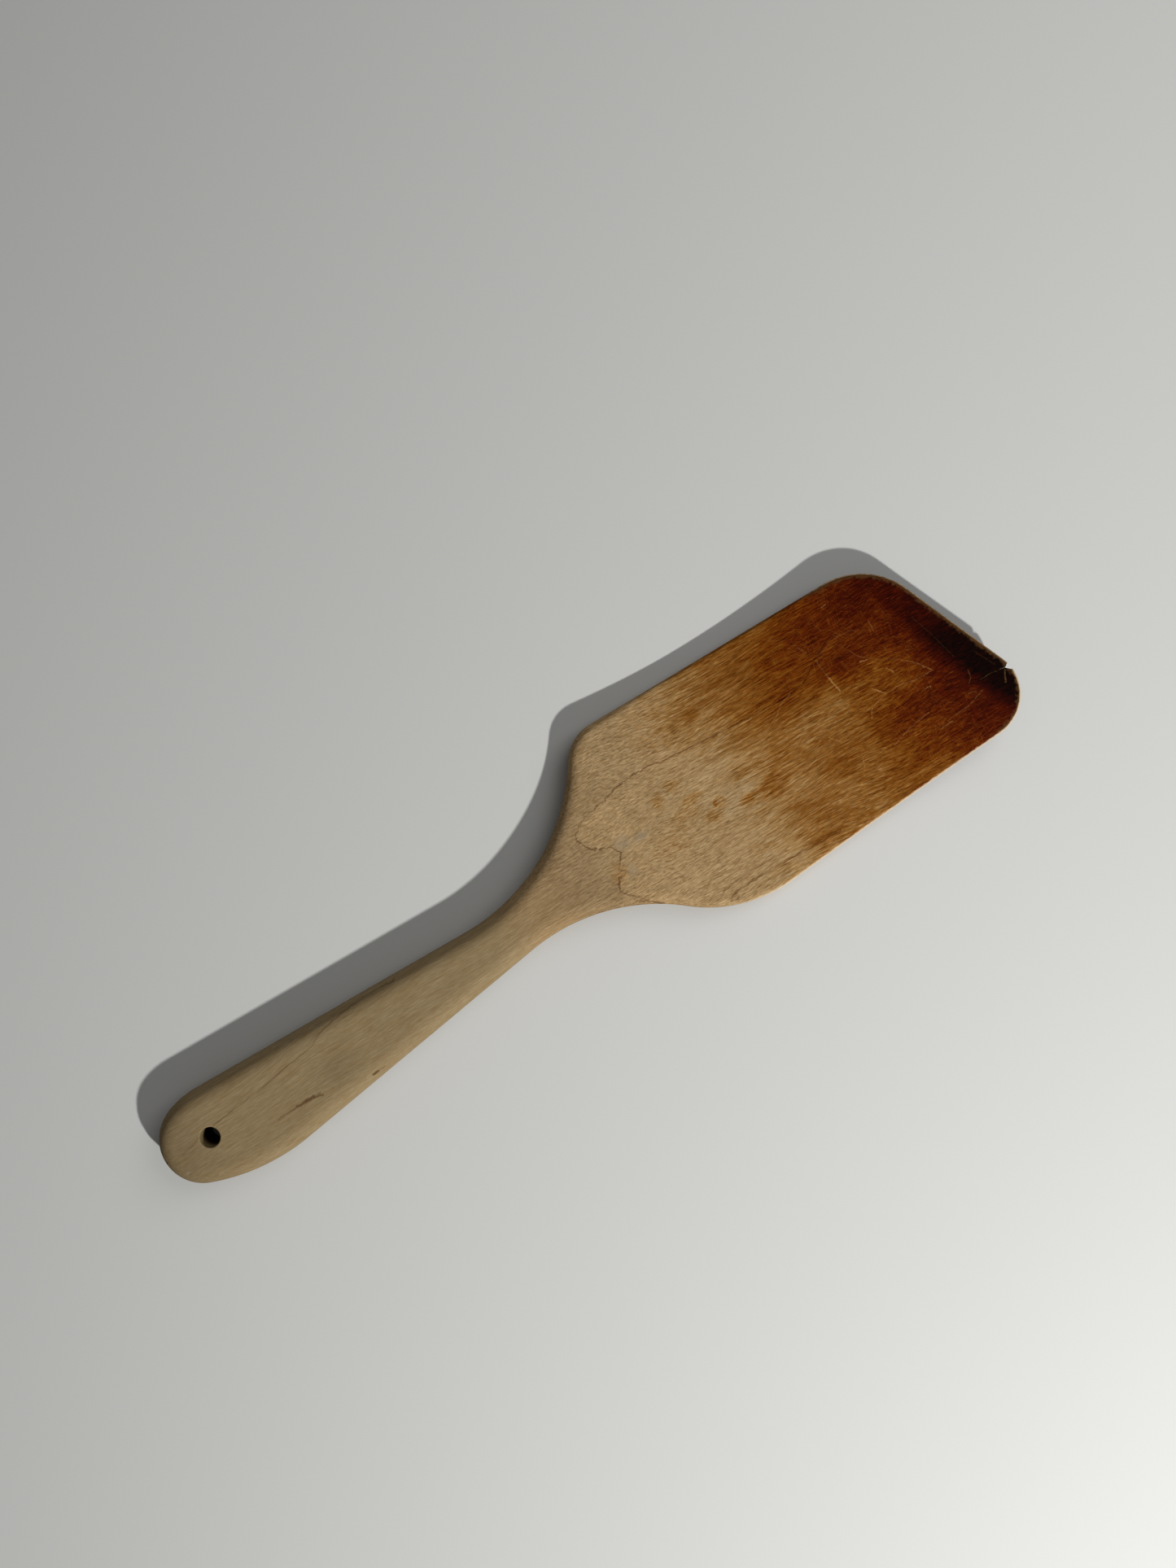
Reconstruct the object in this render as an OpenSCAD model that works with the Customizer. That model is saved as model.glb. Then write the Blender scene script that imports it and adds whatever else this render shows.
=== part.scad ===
// Wooden kitchen turner, carved from one board: handle with a hanging hole, waisted neck, and a wide
// blade that thins towards a slanted, upturned tip. Millimetres, +X from handle to tip, +Z up, +Y to the
// left of someone who holds the handle. The origin is on the axis of the hanging hole, on the underside.

/* [Board] */
// Length from the end of the handle to the leading corner of the blade
overall_length = 305; // [255:1:370]
// Thickness of the board that the turner is carved from
board_t = 12.7; // [10.5:0.1:16]

/* [Handle] */
// Width across the widest part of the handle
handle_w = 33; // [27:0.1:40]
// Radius of the rounded end of the handle
nose_r = 14; // [8:0.5:16]
// How far the rounded end sits to the left of the hanging hole
nose_offset = 0.5; // [0:0.1:1.5]
// Distance from the hanging hole to the widest point of the left side
left_swell_x = 0; // [-4:0.5:20]
// Distance from the hanging hole to the widest point of the right side
right_swell_x = 17; // [-4:0.5:30]
// Radius of the rounding along the edges of the handle
handle_round = 5.2; // [1.5:0.1:5.6]

/* [Hanging hole] */
// Diameter of the hanging hole
hole_d = 6.35; // [4:0.05:10]
// Distance from the end of the handle to the middle of the hanging hole
hole_inset = 17.6; // [14:0.1:28]
// How far the hanging hole sits to the left of the middle of the handle
hole_offset = 1.4; // [0:0.1:3]
// Width of the eased rim at both ends of the hanging hole
hole_rim = 0.4; // [0.1:0.1:1]

/* [Neck] */
// Width of the neck between the hollows of its two sides
neck_w = 15.8; // [12:0.1:22]
// Distance from the hanging hole to the hollow of the left side
left_neck_x = 104.5; // [85:0.5:125]
// Distance from the hanging hole to the hollow of the right side
right_neck_x = 121; // [100:1:140]
// Radius of the hollow that flares out to the left shoulder
left_flare_r = 65; // [50:1:85]
// Radius of the hollow that flares out to the right shoulder
right_flare_r = 61.5; // [48:0.5:78]

/* [Blade] */
// Width across the shoulders of the blade
blade_w = 76.7; // [62:0.1:95]
// Width across the two corners of the tip
tip_w = 69.7; // [57:0.1:85]
// How far the middle of the shoulders sits to the left of the hanging hole
blade_offset = 2.2; // [0:0.1:4]
// How far the middle of the tip sits to the left of the hanging hole
tip_offset = 1.2; // [0:0.1:4]
// Radius of the left shoulder
left_shoulder_r = 14; // [8:0.5:20]
// Radius of the right shoulder
right_shoulder_r = 45.5; // [30:0.5:55]
// Radius of the left corner of the tip
left_tip_r = 23; // [15:0.5:29]
// Radius of the right corner of the tip, which leads
right_tip_r = 14.5; // [10:0.5:18]
// How far the left corner of the tip lies behind the right one
tip_setback = 11.5; // [4:0.1:16]
// Radius of the eased edges along the sides of the blade
blade_ease = 1.2; // [0.6:0.1:1.8]
// Width of the worn slope along the edge of the tip
tip_ease = 2; // [1:0.1:3]

/* [Side profile] */
// Distance from the hanging hole to where the upper face starts to fall
fall_start_x = 122; // [105:1:140]
// Distance from the hanging hole to the lowest point of the blade's upper face
belly_x = 204; // [185:1:215]
// Height of the blade's upper face at its lowest point
belly_h = 5.8; // [4:0.1:8]
// Distance from the hanging hole to where the underside starts to rise
rise_start_x = 193; // [175:1:205]
// Height of the underside at the leading corner of the tip
tip_lift = 10.5; // [4:0.1:14]
// Thickness of the blade at the leading corner of the tip
tip_t = 2.2; // [1.4:0.1:3]

/* [Split in the tip] */
// Place of the split on the right corner's arc, in degrees from straight ahead
split_angle = 8.5; // [0:0.5:15]
// Width of the chipped mouth of the split
chip_w = 2.8; // [1.2:0.1:4]
// Depth of the chipped mouth of the split
chip_depth = 1.8; // [0.6:0.1:2.4]
// Length of the split along the grain
split_length = 10; // [4:0.5:16]
// Width of the split just behind its chipped mouth
split_w = 0.3; // [0.2:0.05:0.8]
// How far the split wanders to the left along its length
split_drift = 1.4; // [0:0.1:3]

/* [Hidden] */

$fn = 64;
margin = 1;
wood_colour = [0.70, 0.55, 0.37];

// Half widths on each side of the line through the hanging hole
handle_left = handle_w / 2 - hole_offset;
handle_right = handle_w / 2 + hole_offset;
shoulder_left = blade_w / 2 + blade_offset;
shoulder_right = blade_w / 2 - blade_offset;
tip_left = tip_w / 2 + tip_offset;
tip_right = tip_w / 2 - tip_offset;

// The nose keeps a little inside the narrower side of the handle
nose_play = 0.5;
nose_fit_r = min(nose_r, handle_left - nose_offset - nose_play);
nose_x = nose_fit_r - hole_inset;
tip_x = overall_length - hole_inset;

// Steps along each arc and straight run of one side, across the board, and over each rounded edge
nose_span = 25;
nose_steps = 4;
swell_steps = 6;
grip_steps = 5;
flare_steps = 10;
shoulder_steps = 8;
side_steps = 7;
tip_steps = 10;
across_steps = 6;
round_steps = 3;

// The eased edges take at most this share of the thickness from each face
ease_share = 0.45;

// The split bends at this share of its length, where it has made this share of its drift
bend_share = 0.6;
bend_drift_share = 0.85;
// The chipped mouth opens to the right by this share of its depth
lip_share = 1 / 3;

function mix(a, b, t) = a + (b - a) * t;
function clamp01(t) = max(0, min(1, t));
function soft_step(t) = (1 - cos(180 * clamp01(t))) / 2;

// Heights of the upper face and of the underside, which depend only on the distance along the board
function rise(x, start) = pow(max(0, x - start) / (tip_x - start), 2);
function top_z(x) =
    x < belly_x
        ? mix(board_t, belly_h, soft_step((x - fall_start_x) / (belly_x - fall_start_x)))
        : mix(belly_h, tip_lift + tip_t, rise(x, belly_x));
function under_z(x) = tip_lift * rise(x, rise_start_x);

// Each side is a path round five circles, [x, y, signed radius], with y measured outwards. A plus
// radius bends the path outwards, as in the hollow of the neck, and a minus radius bends it inwards.
function swell_r(dx, half_w) =
    (dx * dx + half_w * half_w - nose_fit_r * nose_fit_r) / (2 * (half_w - nose_fit_r));
function swell(x, half_w, nose_y) =
    let (r = swell_r(x - nose_x, half_w - nose_y))
    [x, half_w - r, -r];
function flare(x, r) = [x, neck_w / 2 + r, r];
function shoulder(hollow, half_w, r) =
    let (y = half_w - r, reach = hollow[2] + r, climb = hollow[1] - y)
    [hollow[0] + sqrt(reach * reach - climb * climb), y, -r];
function side_circles(nose_y, swell_x, half_handle, hollow, half_shoulder, shoulder_r, tip, other_tip) = [
    [nose_x, nose_y, -nose_fit_r],
    swell(swell_x, half_handle, nose_y),
    hollow,
    shoulder(hollow, half_shoulder, shoulder_r),
    tip,
    other_tip];

left_tip = [tip_x - tip_setback - left_tip_r, tip_left - left_tip_r, -left_tip_r];
right_tip = [tip_x - right_tip_r, tip_right - right_tip_r, -right_tip_r];
left_circles = side_circles(nose_offset, left_swell_x, handle_left, flare(left_neck_x, left_flare_r),
    shoulder_left, left_shoulder_r, left_tip, [right_tip[0], -right_tip[1], right_tip[2]]);
right_circles = side_circles(-nose_offset, right_swell_x, handle_right, flare(right_neck_x, right_flare_r),
    shoulder_right, right_shoulder_r, right_tip, [left_tip[0], -left_tip[1], left_tip[2]]);

// Direction of the straight run that leaves circle a and reaches circle b
function run_angle(a, b) =
    let (dx = b[0] - a[0], dy = b[1] - a[1], lean = (b[2] - a[2]) / norm([dx, dy]))
    atan2(dy, dx) - asin(max(-1, min(1, lean)));
// Point and outward normal on a circle of the path where it heads in this direction
function path_point(circle, heading) =
    let (n = [-sin(heading), cos(heading)])
    [[circle[0], circle[1]] - circle[2] * n, n];
function arc_points(circle, from, to, first, steps) =
    [for (s = [first:steps]) path_point(circle, mix(from, to, s / steps))];
function run_points(a, b, heading, steps) =
    let (p = path_point(a, heading), q = path_point(b, heading))
    [for (s = [1:steps]) [mix(p[0], q[0], s / (steps + 1)), p[1]]];
// The whole side, from beside the middle of the nose to the start of the tip's straight edge
function side_points(c) =
    let (h = [for (i = [0:4]) run_angle(c[i], c[i + 1])])
    concat(
        arc_points(c[0], 90 - nose_span, h[0], 0, nose_steps),
        arc_points(c[1], h[0], h[1], 1, swell_steps),
        run_points(c[1], c[2], h[1], grip_steps),
        arc_points(c[2], h[1], h[2], 0, flare_steps),
        arc_points(c[3], h[2], h[3], 1, shoulder_steps),
        run_points(c[3], c[4], h[3], side_steps),
        arc_points(c[4], h[3], h[4], 0, tip_steps));

function mirrored(v) = [v[0], -v[1]];
left_side = side_points(left_circles);
right_side = [for (s = side_points(right_circles)) [mirrored(s[0]), mirrored(s[1])]];
last = len(left_side) - 1;
nose_row = [for (m = [1:across_steps - 1])
    path_point(left_circles[0], 90 + nose_span * (1 - 2 * m / across_steps))];
tip_row = [for (m = [1:across_steps - 1])
    [mix(right_side[last][0], left_side[last][0], m / across_steps), left_side[last][1]]];

// The rim goes once round the outline: right side, tip, left side, nose
rim = concat(
    right_side,
    tip_row,
    [for (i = [last:-1:0]) left_side[i]],
    [for (m = [across_steps - 2:-1:0]) nose_row[m]]);
rim_count = len(rim);

// Width and height of the eased edge: full on the handle, slight on the blade, a long slope at the tip
function blade_share(x) = soft_step((x - fall_start_x) / (belly_x - fall_start_x));
function ease_w(station) =
    mix(mix(handle_round, blade_ease, blade_share(station[0][0])), tip_ease, pow(max(0, station[1][0]), 2));
function ease_h(station, thickness) =
    min(mix(handle_round, blade_ease, blade_share(station[0][0])), ease_share * thickness);

// Rows over the edge run from the upper face (row 0) to the underside (row edge_rows)
edge_rows = 2 * round_steps + 1;
function row_angle(k) = 90 * (k <= round_steps ? k : edge_rows - k) / round_steps;
function edge_point(station, k) =
    let (
        a = row_angle(k),
        p = station[0] - station[1] * ease_w(station) * (1 - sin(a)),
        top = top_z(p[0]),
        under = under_z(p[0]),
        drop = ease_h(station, top - under) * (1 - cos(a)))
    [p[0], p[1], k <= round_steps ? top - drop : under + drop];

// Faces are grids of stations along the board and steps across it, from the right side to the left
function row_across(i) = i == 0
    ? concat([right_side[0]], nose_row, [left_side[0]])
    : concat([right_side[last]], tip_row, [left_side[last]]);
function face_point(i, m, k) =
    (i == 0 || i == last)
        ? edge_point(row_across(i)[m], k)
        : let (
              p = mix(edge_point(right_side[i], k), edge_point(left_side[i], k), m / across_steps),
              z = k == 0 ? top_z(p[0]) : under_z(p[0]))
          [p[0], p[1], z];
function face_points(k) = [for (i = [0:last]) for (m = [0:across_steps]) face_point(i, m, k)];

face_count = (last + 1) * (across_steps + 1);
function on_face(i, m) = i * (across_steps + 1) + m;
// Place on the face's border of each station of the rim
function border(j) =
    j <= last ? on_face(j, 0)
    : j < last + across_steps ? on_face(last, j - last)
    : j <= 2 * last + across_steps ? on_face(2 * last + across_steps - j, across_steps)
    : on_face(0, 2 * last + 2 * across_steps - j);
function on_edge(j, k) =
    k == 0 ? border(j % rim_count)
    : k == edge_rows ? face_count + border(j % rim_count)
    : 2 * face_count + (k - 1) * rim_count + j % rim_count;
function two_triangles(a, b, c, d) = [[a, b, c], [a, c, d]];

board_points = concat(
    face_points(0),
    face_points(edge_rows),
    [for (k = [1:edge_rows - 1]) for (s = rim) edge_point(s, k)]);
upper_faces = [for (i = [0:last - 1]) for (m = [0:across_steps - 1])
    each two_triangles(on_face(i, m), on_face(i, m + 1), on_face(i + 1, m + 1), on_face(i + 1, m))];
under_faces = [for (f = upper_faces) [for (v = [2:-1:0]) face_count + f[v]]];
edge_faces = [for (k = [0:edge_rows - 1]) for (j = [0:rim_count - 1])
    each two_triangles(on_edge(j, k), on_edge(j + 1, k), on_edge(j + 1, k + 1), on_edge(j, k + 1))];

// The board, sawn to its outline, thinned towards the tip, with its edges eased
module carved_board() {
    polyhedron(board_points, concat(upper_faces, under_faces, edge_faces));
}

// The drilled hole for a hook or a cord, with both rims eased
module hanging_hole() {
    r = hole_d / 2;
    translate([0, 0, -margin]) cylinder(h = board_t + 2 * margin, r = r);
    cylinder(h = hole_rim, r1 = r + hole_rim, r2 = r);
    translate([0, 0, board_t - hole_rim]) cylinder(h = hole_rim, r1 = r, r2 = r + hole_rim);
}

// The chipped mouth at the leading corner, and the split that runs back from it along the grain
module tip_split() {
    mouth = [right_tip[0], -right_tip[1]] + right_tip_r * [cos(split_angle), sin(split_angle)];
    bend = [-bend_share * split_length, bend_drift_share * split_drift];
    half_mouth = [0, split_w / 2];
    half_bend = half_mouth / 2;
    lip = lip_share * chip_depth;
    outline = [
        [margin, chip_w / 2],
        [-chip_depth, 0] + half_mouth,
        bend + half_bend,
        [-split_length, split_drift],
        bend - half_bend,
        [-chip_depth, 0] - half_mouth,
        [-lip, -chip_w / 2],
        [margin, -chip_w / 2 - lip]];
    translate([mouth[0], mouth[1], -margin])
        linear_extrude(height = tip_lift + tip_t + 2 * margin)
            polygon(outline);
}

module turner() {
    color(wood_colour)
        difference() {
            carved_board();
            hanging_hole();
            tip_split();
        }
}

turner();
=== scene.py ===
"""Looks of a one-piece wooden kitchen turner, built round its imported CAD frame.

The plan of the turner is laid out as a flat sheet of fine triangles. Geometry Nodes carve that sheet to
the side profile of the board, and a procedural finish gives the bare maple, its ring lines and its
scorched, scratched tip. Plan sizes are in millimetres from the hanging hole, meshes are in metres.
"""

import logging
import math
from collections.abc import Sequence
from dataclasses import dataclass
from enum import Enum
from typing import ClassVar

import bpy
import numpy as np
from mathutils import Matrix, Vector, kdtree
from mathutils.geometry import delaunay_2d_cdt


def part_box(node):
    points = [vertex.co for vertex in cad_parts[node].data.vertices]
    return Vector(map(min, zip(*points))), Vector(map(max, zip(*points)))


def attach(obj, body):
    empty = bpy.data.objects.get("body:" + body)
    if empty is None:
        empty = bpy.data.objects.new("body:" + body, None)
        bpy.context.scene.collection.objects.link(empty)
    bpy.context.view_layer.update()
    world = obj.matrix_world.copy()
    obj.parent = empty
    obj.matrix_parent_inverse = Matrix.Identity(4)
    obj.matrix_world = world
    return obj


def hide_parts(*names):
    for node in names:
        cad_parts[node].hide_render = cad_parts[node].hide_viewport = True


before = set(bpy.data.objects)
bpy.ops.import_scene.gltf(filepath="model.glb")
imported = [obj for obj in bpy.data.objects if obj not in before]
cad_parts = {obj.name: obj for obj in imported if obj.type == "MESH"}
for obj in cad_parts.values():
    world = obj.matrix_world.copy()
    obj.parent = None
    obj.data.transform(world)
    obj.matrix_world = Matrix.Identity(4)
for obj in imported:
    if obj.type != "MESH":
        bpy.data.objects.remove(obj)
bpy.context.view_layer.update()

LOG = logging.getLogger("turner")
NODE = "turner"
BODY = "root"
MM = 0.001
NOISE_MEAN = 0.5
PHOTO_H = 1927

Point = tuple[float, float]
Colour = tuple[float, float, float, float]


def linear(red: float, green: float, blue: float) -> Colour:
    """Turns a colour as seen on a screen, 0 to 255, into the linear one that Blender's sockets take.

    Args:
        red: Red channel, 0 to 255.
        green: Green channel, 0 to 255.
        blue: Blue channel, 0 to 255.

    Returns:
        Linear red, green and blue from 0 to 1, and an alpha of 1.
    """
    def channel(value: float) -> float:
        """Undoes the screen's transfer curve for one channel."""
        share = value / 255
        return share / 12.92 if share <= 0.04045 else ((share + 0.055) / 1.055) ** 2.4

    return channel(red), channel(green), channel(blue), 1.0


def soft_step(share: np.ndarray | float) -> np.ndarray | float:
    """Half a cosine wave from 0 to 1, flat outside that range."""
    return (1 - np.cos(np.pi * np.clip(share, 0, 1))) / 2


class Side(Enum):
    """The two sides of the turner, as seen by someone who holds its handle."""

    LEFT = 1
    RIGHT = -1


class Layer(Enum):
    """Share of the board's thickness at which the vertices of a face lie."""

    UNDER = 0.0
    UPPER = 1.0


class Mark(Enum):
    """Names of the vertex attributes that the carving and the finish read."""

    RIM = "rim"
    FORWARD = "forward"
    LAYER = "layer"
    DENT = "dent"


class Wire:
    """A number, vector or colour on its way through a node tree, with arithmetic that adds Math nodes."""

    def __init__(self, bench: "NodeBench", socket: bpy.types.NodeSocket) -> None:
        """Keeps the output socket that the value leaves, and the bench that lays nodes."""
        self.bench = bench
        self.socket = socket

    def __add__(self, other: "Wire | float") -> "Wire":
        """Adds a number or a wire."""
        return self.bench.math("ADD", self, other)

    def __radd__(self, other: float) -> "Wire":
        """Adds this wire to a number."""
        return self.bench.math("ADD", other, self)

    def __sub__(self, other: "Wire | float") -> "Wire":
        """Takes away a number or a wire."""
        return self.bench.math("SUBTRACT", self, other)

    def __rsub__(self, other: float) -> "Wire":
        """Takes this wire away from a number."""
        return self.bench.math("SUBTRACT", other, self)

    def __mul__(self, other: "Wire | float") -> "Wire":
        """Multiplies by a number or a wire."""
        return self.bench.math("MULTIPLY", self, other)

    def __truediv__(self, other: "Wire | float") -> "Wire":
        """Divides by a number or a wire."""
        return self.bench.math("DIVIDE", self, other)


@dataclass(frozen=True)
class Stroke:
    """A line on the upper face: half its width and its points, in millimetres, and its strength."""

    half_width: float
    points: tuple[Point, ...]
    strength: float = 1.0


@dataclass(frozen=True)
class Patch:
    """A soft oval on the upper face, in millimetres, and how much it adds at its middle."""

    middle: Point
    reach: Point
    amount: float


@dataclass(frozen=True)
class Stop:
    """One colour of a ramp and its place there, from 0 to 1."""

    place: float
    colour: Colour


@dataclass(frozen=True)
class Fade:
    """A soft change of strength: where it starts, where it ends, and the strength at each."""

    start: float
    end: float
    low: float = 0.0
    high: float = 1.0


@dataclass(frozen=True)
class Grain:
    """Soft noise: the length of its grains on each axis, in millimetres, and how its finer layers look."""

    lengths: tuple[float, float, float]
    detail: float = 2.0
    roughness: float = 0.5
    distortion: float = 0.0


class NodeBench:
    """Lays nodes in one tree, which may be a material's or a Geometry Nodes tree."""

    def __init__(self, tree: bpy.types.NodeTree) -> None:
        """Starts work on a tree."""
        self.tree = tree

    def node(self, kind: str, **settings: object) -> bpy.types.Node:
        """Adds a node.

        Args:
            kind: Blender's name for the type of node.
            **settings: Properties of the node and their values.

        Returns:
            The new node.
        """
        made = self.tree.nodes.new(kind)
        for name, value in settings.items():
            setattr(made, name, value)
        return made

    def feed(self, socket: bpy.types.NodeSocket, value: object) -> None:
        """Links a wire to an input, or writes a constant on it.

        Args:
            socket: The input.
            value: A wire, a number, a vector or a colour.
        """
        if isinstance(value, Wire):
            self.tree.links.new(value.socket, socket)
        else:
            socket.default_value = value

    def math(self, operation: str, *values: Wire | float, clamp: bool = False) -> Wire:
        """Adds a Math node.

        Args:
            operation: Blender's name for the operation.
            *values: Its inputs, in order.
            clamp: Whether the result is held between 0 and 1.

        Returns:
            The result.
        """
        made = self.node("ShaderNodeMath", operation=operation, use_clamp=clamp)
        for socket, value in zip(made.inputs, values):
            self.feed(socket, value)
        return Wire(self, made.outputs["Value"])

    def vector(self, operation: str, *values: object, output: str = "Vector") -> Wire:
        """Adds a Vector Math node.

        Args:
            operation: Blender's name for the operation.
            *values: Its inputs, in order.
            output: Name of the output that holds the result.

        Returns:
            The result.
        """
        made = self.node("ShaderNodeVectorMath", operation=operation)
        for socket, value in zip(made.inputs, values):
            self.feed(socket, value)
        return Wire(self, made.outputs[output])

    def scale(self, vector: Wire | Vector, factor: Wire | float) -> Wire:
        """Makes a vector longer or shorter.

        Args:
            vector: The vector.
            factor: How many times as long it gets.

        Returns:
            The scaled vector.
        """
        made = self.node("ShaderNodeVectorMath", operation="SCALE")
        self.feed(made.inputs["Vector"], vector)
        self.feed(made.inputs["Scale"], factor)
        return Wire(self, made.outputs["Vector"])

    def split(self, vector: Wire) -> tuple[Wire, Wire, Wire]:
        """Takes a vector apart.

        Args:
            vector: The vector.

        Returns:
            Its x, y and z.
        """
        made = self.node("ShaderNodeSeparateXYZ")
        self.feed(made.inputs["Vector"], vector)
        x, y, z = (Wire(self, socket) for socket in made.outputs)
        return x, y, z

    def join(self, x: Wire | float, y: Wire | float, z: Wire | float) -> Wire:
        """Puts three numbers together.

        Args:
            x: First number.
            y: Second number.
            z: Third number.

        Returns:
            The vector.
        """
        made = self.node("ShaderNodeCombineXYZ")
        for socket, value in zip(made.inputs, (x, y, z)):
            self.feed(socket, value)
        return Wire(self, made.outputs["Vector"])

    def ramp(
        self, value: Wire, start: Wire | float, end: Wire | float, low: float = 0.0, high: float = 1.0
    ) -> Wire:
        """Eases from one height to another as a value goes from start to end, and holds still outside.

        Args:
            value: The value that drives the ramp.
            start: Where the ramp leaves the first height.
            end: Where it reaches the second, which may be below start.
            low: The first height.
            high: The second height.

        Returns:
            The height.
        """
        made = self.node("ShaderNodeMapRange", interpolation_type="SMOOTHSTEP", clamp=True)
        wanted = {"Value": value, "From Min": start, "From Max": end, "To Min": low, "To Max": high}
        for name, given in wanted.items():
            self.feed(made.inputs[name], given)
        return Wire(self, made.outputs["Result"])

    def fade(self, value: Wire, fade: Fade) -> Wire:
        """Eases between a fade's two strengths as a value goes from its start to its end."""
        return self.ramp(value, fade.start, fade.end, fade.low, fade.high)

    def mix(self, first: Wire | float, second: Wire | float, share: Wire) -> Wire:
        """Goes from one number to another.

        Args:
            first: The number at a share of 0.
            second: The number at a share of 1.
            share: How far it has gone.

        Returns:
            The number in between.
        """
        made = self.node("ShaderNodeMix", data_type="FLOAT")
        inputs = {socket.identifier: socket for socket in made.inputs}
        self.feed(inputs["Factor_Float"], share)
        self.feed(inputs["A_Float"], first)
        self.feed(inputs["B_Float"], second)
        return Wire(self, made.outputs["Result"])

    def curve(self, value: Wire, points: Sequence[Point]) -> Wire:
        """Follows a smooth curve.

        Args:
            value: The value that drives the curve.
            points: Pairs of place and height, with rising places.

        Returns:
            The height at the value.
        """
        start = points[0][0]
        span = points[-1][0] - start
        low = min(height for _, height in points)
        climb = max(height for _, height in points) - low
        shares = [((place - start) / span, (height - low) / climb) for place, height in points]
        made = self.node("ShaderNodeFloatCurve")
        line = made.mapping.curves[0]
        for share in shares[1:-1]:
            line.points.new(*share)
        line.points[0].location = shares[0]
        line.points[-1].location = shares[-1]
        for point in line.points:
            point.handle_type = "AUTO_CLAMPED"
        made.mapping.update()
        self.feed(made.inputs["Value"], (value - start) / span)
        return Wire(self, made.outputs["Value"]) * climb + low

    def noise(self, place: Wire, grain: Grain) -> Wire:
        """Adds soft noise, with a mean near a half.

        Args:
            place: Where the noise is read, in millimetres.
            grain: The size and the look of its grains.

        Returns:
            The noise, from 0 to 1.
        """
        made = self.node("ShaderNodeTexNoise", noise_dimensions="3D")
        wanted = {
            "Vector": self.vector("DIVIDE", place, grain.lengths),
            "Scale": 1.0,
            "Detail": grain.detail,
            "Roughness": grain.roughness,
            "Distortion": grain.distortion,
        }
        for name, given in wanted.items():
            self.feed(made.inputs[name], given)
        return Wire(self, made.outputs["Fac"])

    def swing(self, place: Wire, grain: Grain) -> Wire:
        """Adds soft noise that swings about 0."""
        return self.noise(place, grain) - NOISE_MEAN

    @staticmethod
    def weigh(values: Sequence[Wire], shares: Sequence[float]) -> Wire:
        """Adds values together, each times its own share."""
        parts = [value * share for value, share in zip(values, shares)]
        return sum(parts[1:], parts[0])

    def distance(self, place: Wire, stroke: Stroke) -> Wire:
        """Measures how far a flat place is outside a drawn line, minus inside it.

        Args:
            place: The place, in millimetres, with no height.
            stroke: The line.

        Returns:
            The distance in millimetres.
        """
        nearest = None
        for start, end in zip(stroke.points, stroke.points[1:]):
            foot = Vector((*start, 0.0))
            along = Vector((*end, 0.0)) - foot
            reach = along / along.length_squared
            passed = self.vector("DOT_PRODUCT", place, reach, output="Value")
            share = self.math("SUBTRACT", passed, foot.dot(reach), clamp=True)
            closest = self.vector("ADD", self.scale(along, share), foot)
            apart = self.vector("DISTANCE", place, closest, output="Value")
            nearest = apart if nearest is None else self.math("MINIMUM", nearest, apart)
        return nearest - stroke.half_width

    def strokes(self, place: Wire, strokes: Sequence[Stroke], softness: float) -> Wire:
        """Draws several lines.

        Args:
            place: The place, in millimetres, with no height.
            strokes: The lines.
            softness: Width, in millimetres, over which a line fades beside it.

        Returns:
            The strength of the strongest line at the place.
        """
        total = None
        for stroke in strokes:
            drawn = self.ramp(self.distance(place, stroke), softness, 0.0, 0.0, stroke.strength)
            total = drawn if total is None else self.math("MAXIMUM", total, drawn)
        return total

    def oval(self, place: Wire, patch: Patch) -> Wire:
        """Draws a patch.

        Args:
            place: The place, in millimetres, with no height.
            patch: The patch.

        Returns:
            The patch's amount at its middle, falling softly to nothing at its reach.
        """
        away = self.vector("SUBTRACT", place, (*patch.middle, 0.0))
        scaled = self.vector("DIVIDE", away, (*patch.reach, 1.0))
        far = self.vector("LENGTH", scaled, output="Value")
        return self.ramp(far, 1.0, 0.0, 0.0, patch.amount)

    def ovals(self, place: Wire, patches: Sequence[Patch]) -> Wire:
        """Adds several patches together.

        Args:
            place: The place, in millimetres, with no height.
            patches: The patches, with at least one.

        Returns:
            The sum of their amounts at the place.
        """
        total = self.oval(place, patches[0])
        for patch in patches[1:]:
            total = total + self.oval(place, patch)
        return total

    def colours(self, value: Wire, stops: Sequence[Stop]) -> Wire:
        """Looks a value up in a ramp of colours.

        Args:
            value: The value, from 0 to 1.
            stops: The colours in order, with at least two.

        Returns:
            The colour.
        """
        made = self.node("ShaderNodeValToRGB")
        elements = made.color_ramp.elements
        while len(elements) < len(stops):
            elements.new(1.0)
        for element, stop in zip(elements, stops):
            element.position = stop.place
            element.color = stop.colour
        self.feed(made.inputs["Fac"], value)
        return Wire(self, made.outputs["Color"])

    def blend(self, base: Wire, over: Wire | Colour, amount: Wire | float, mode: str = "MIX") -> Wire:
        """Lays one colour over another.

        Args:
            base: The colour below.
            over: The colour above.
            amount: How much of the upper colour shows, from 0 to 1.
            mode: Blender's name for the way that they mix.

        Returns:
            The mixed colour.
        """
        made = self.node("ShaderNodeMix", data_type="RGBA", blend_type=mode)
        inputs = {socket.identifier: socket for socket in made.inputs}
        outputs = {socket.identifier: socket for socket in made.outputs}
        self.feed(inputs["Factor_Float"], amount)
        self.feed(inputs["A_Color"], base)
        self.feed(inputs["B_Color"], over)
        return Wire(self, outputs["Result_Color"])

    def tint(self, base: Wire, over: Wire | Colour, amount: Wire | float) -> Wire:
        """Multiplies one colour by another, as far as the amount says."""
        return self.blend(base, over, amount, "MULTIPLY")

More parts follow.
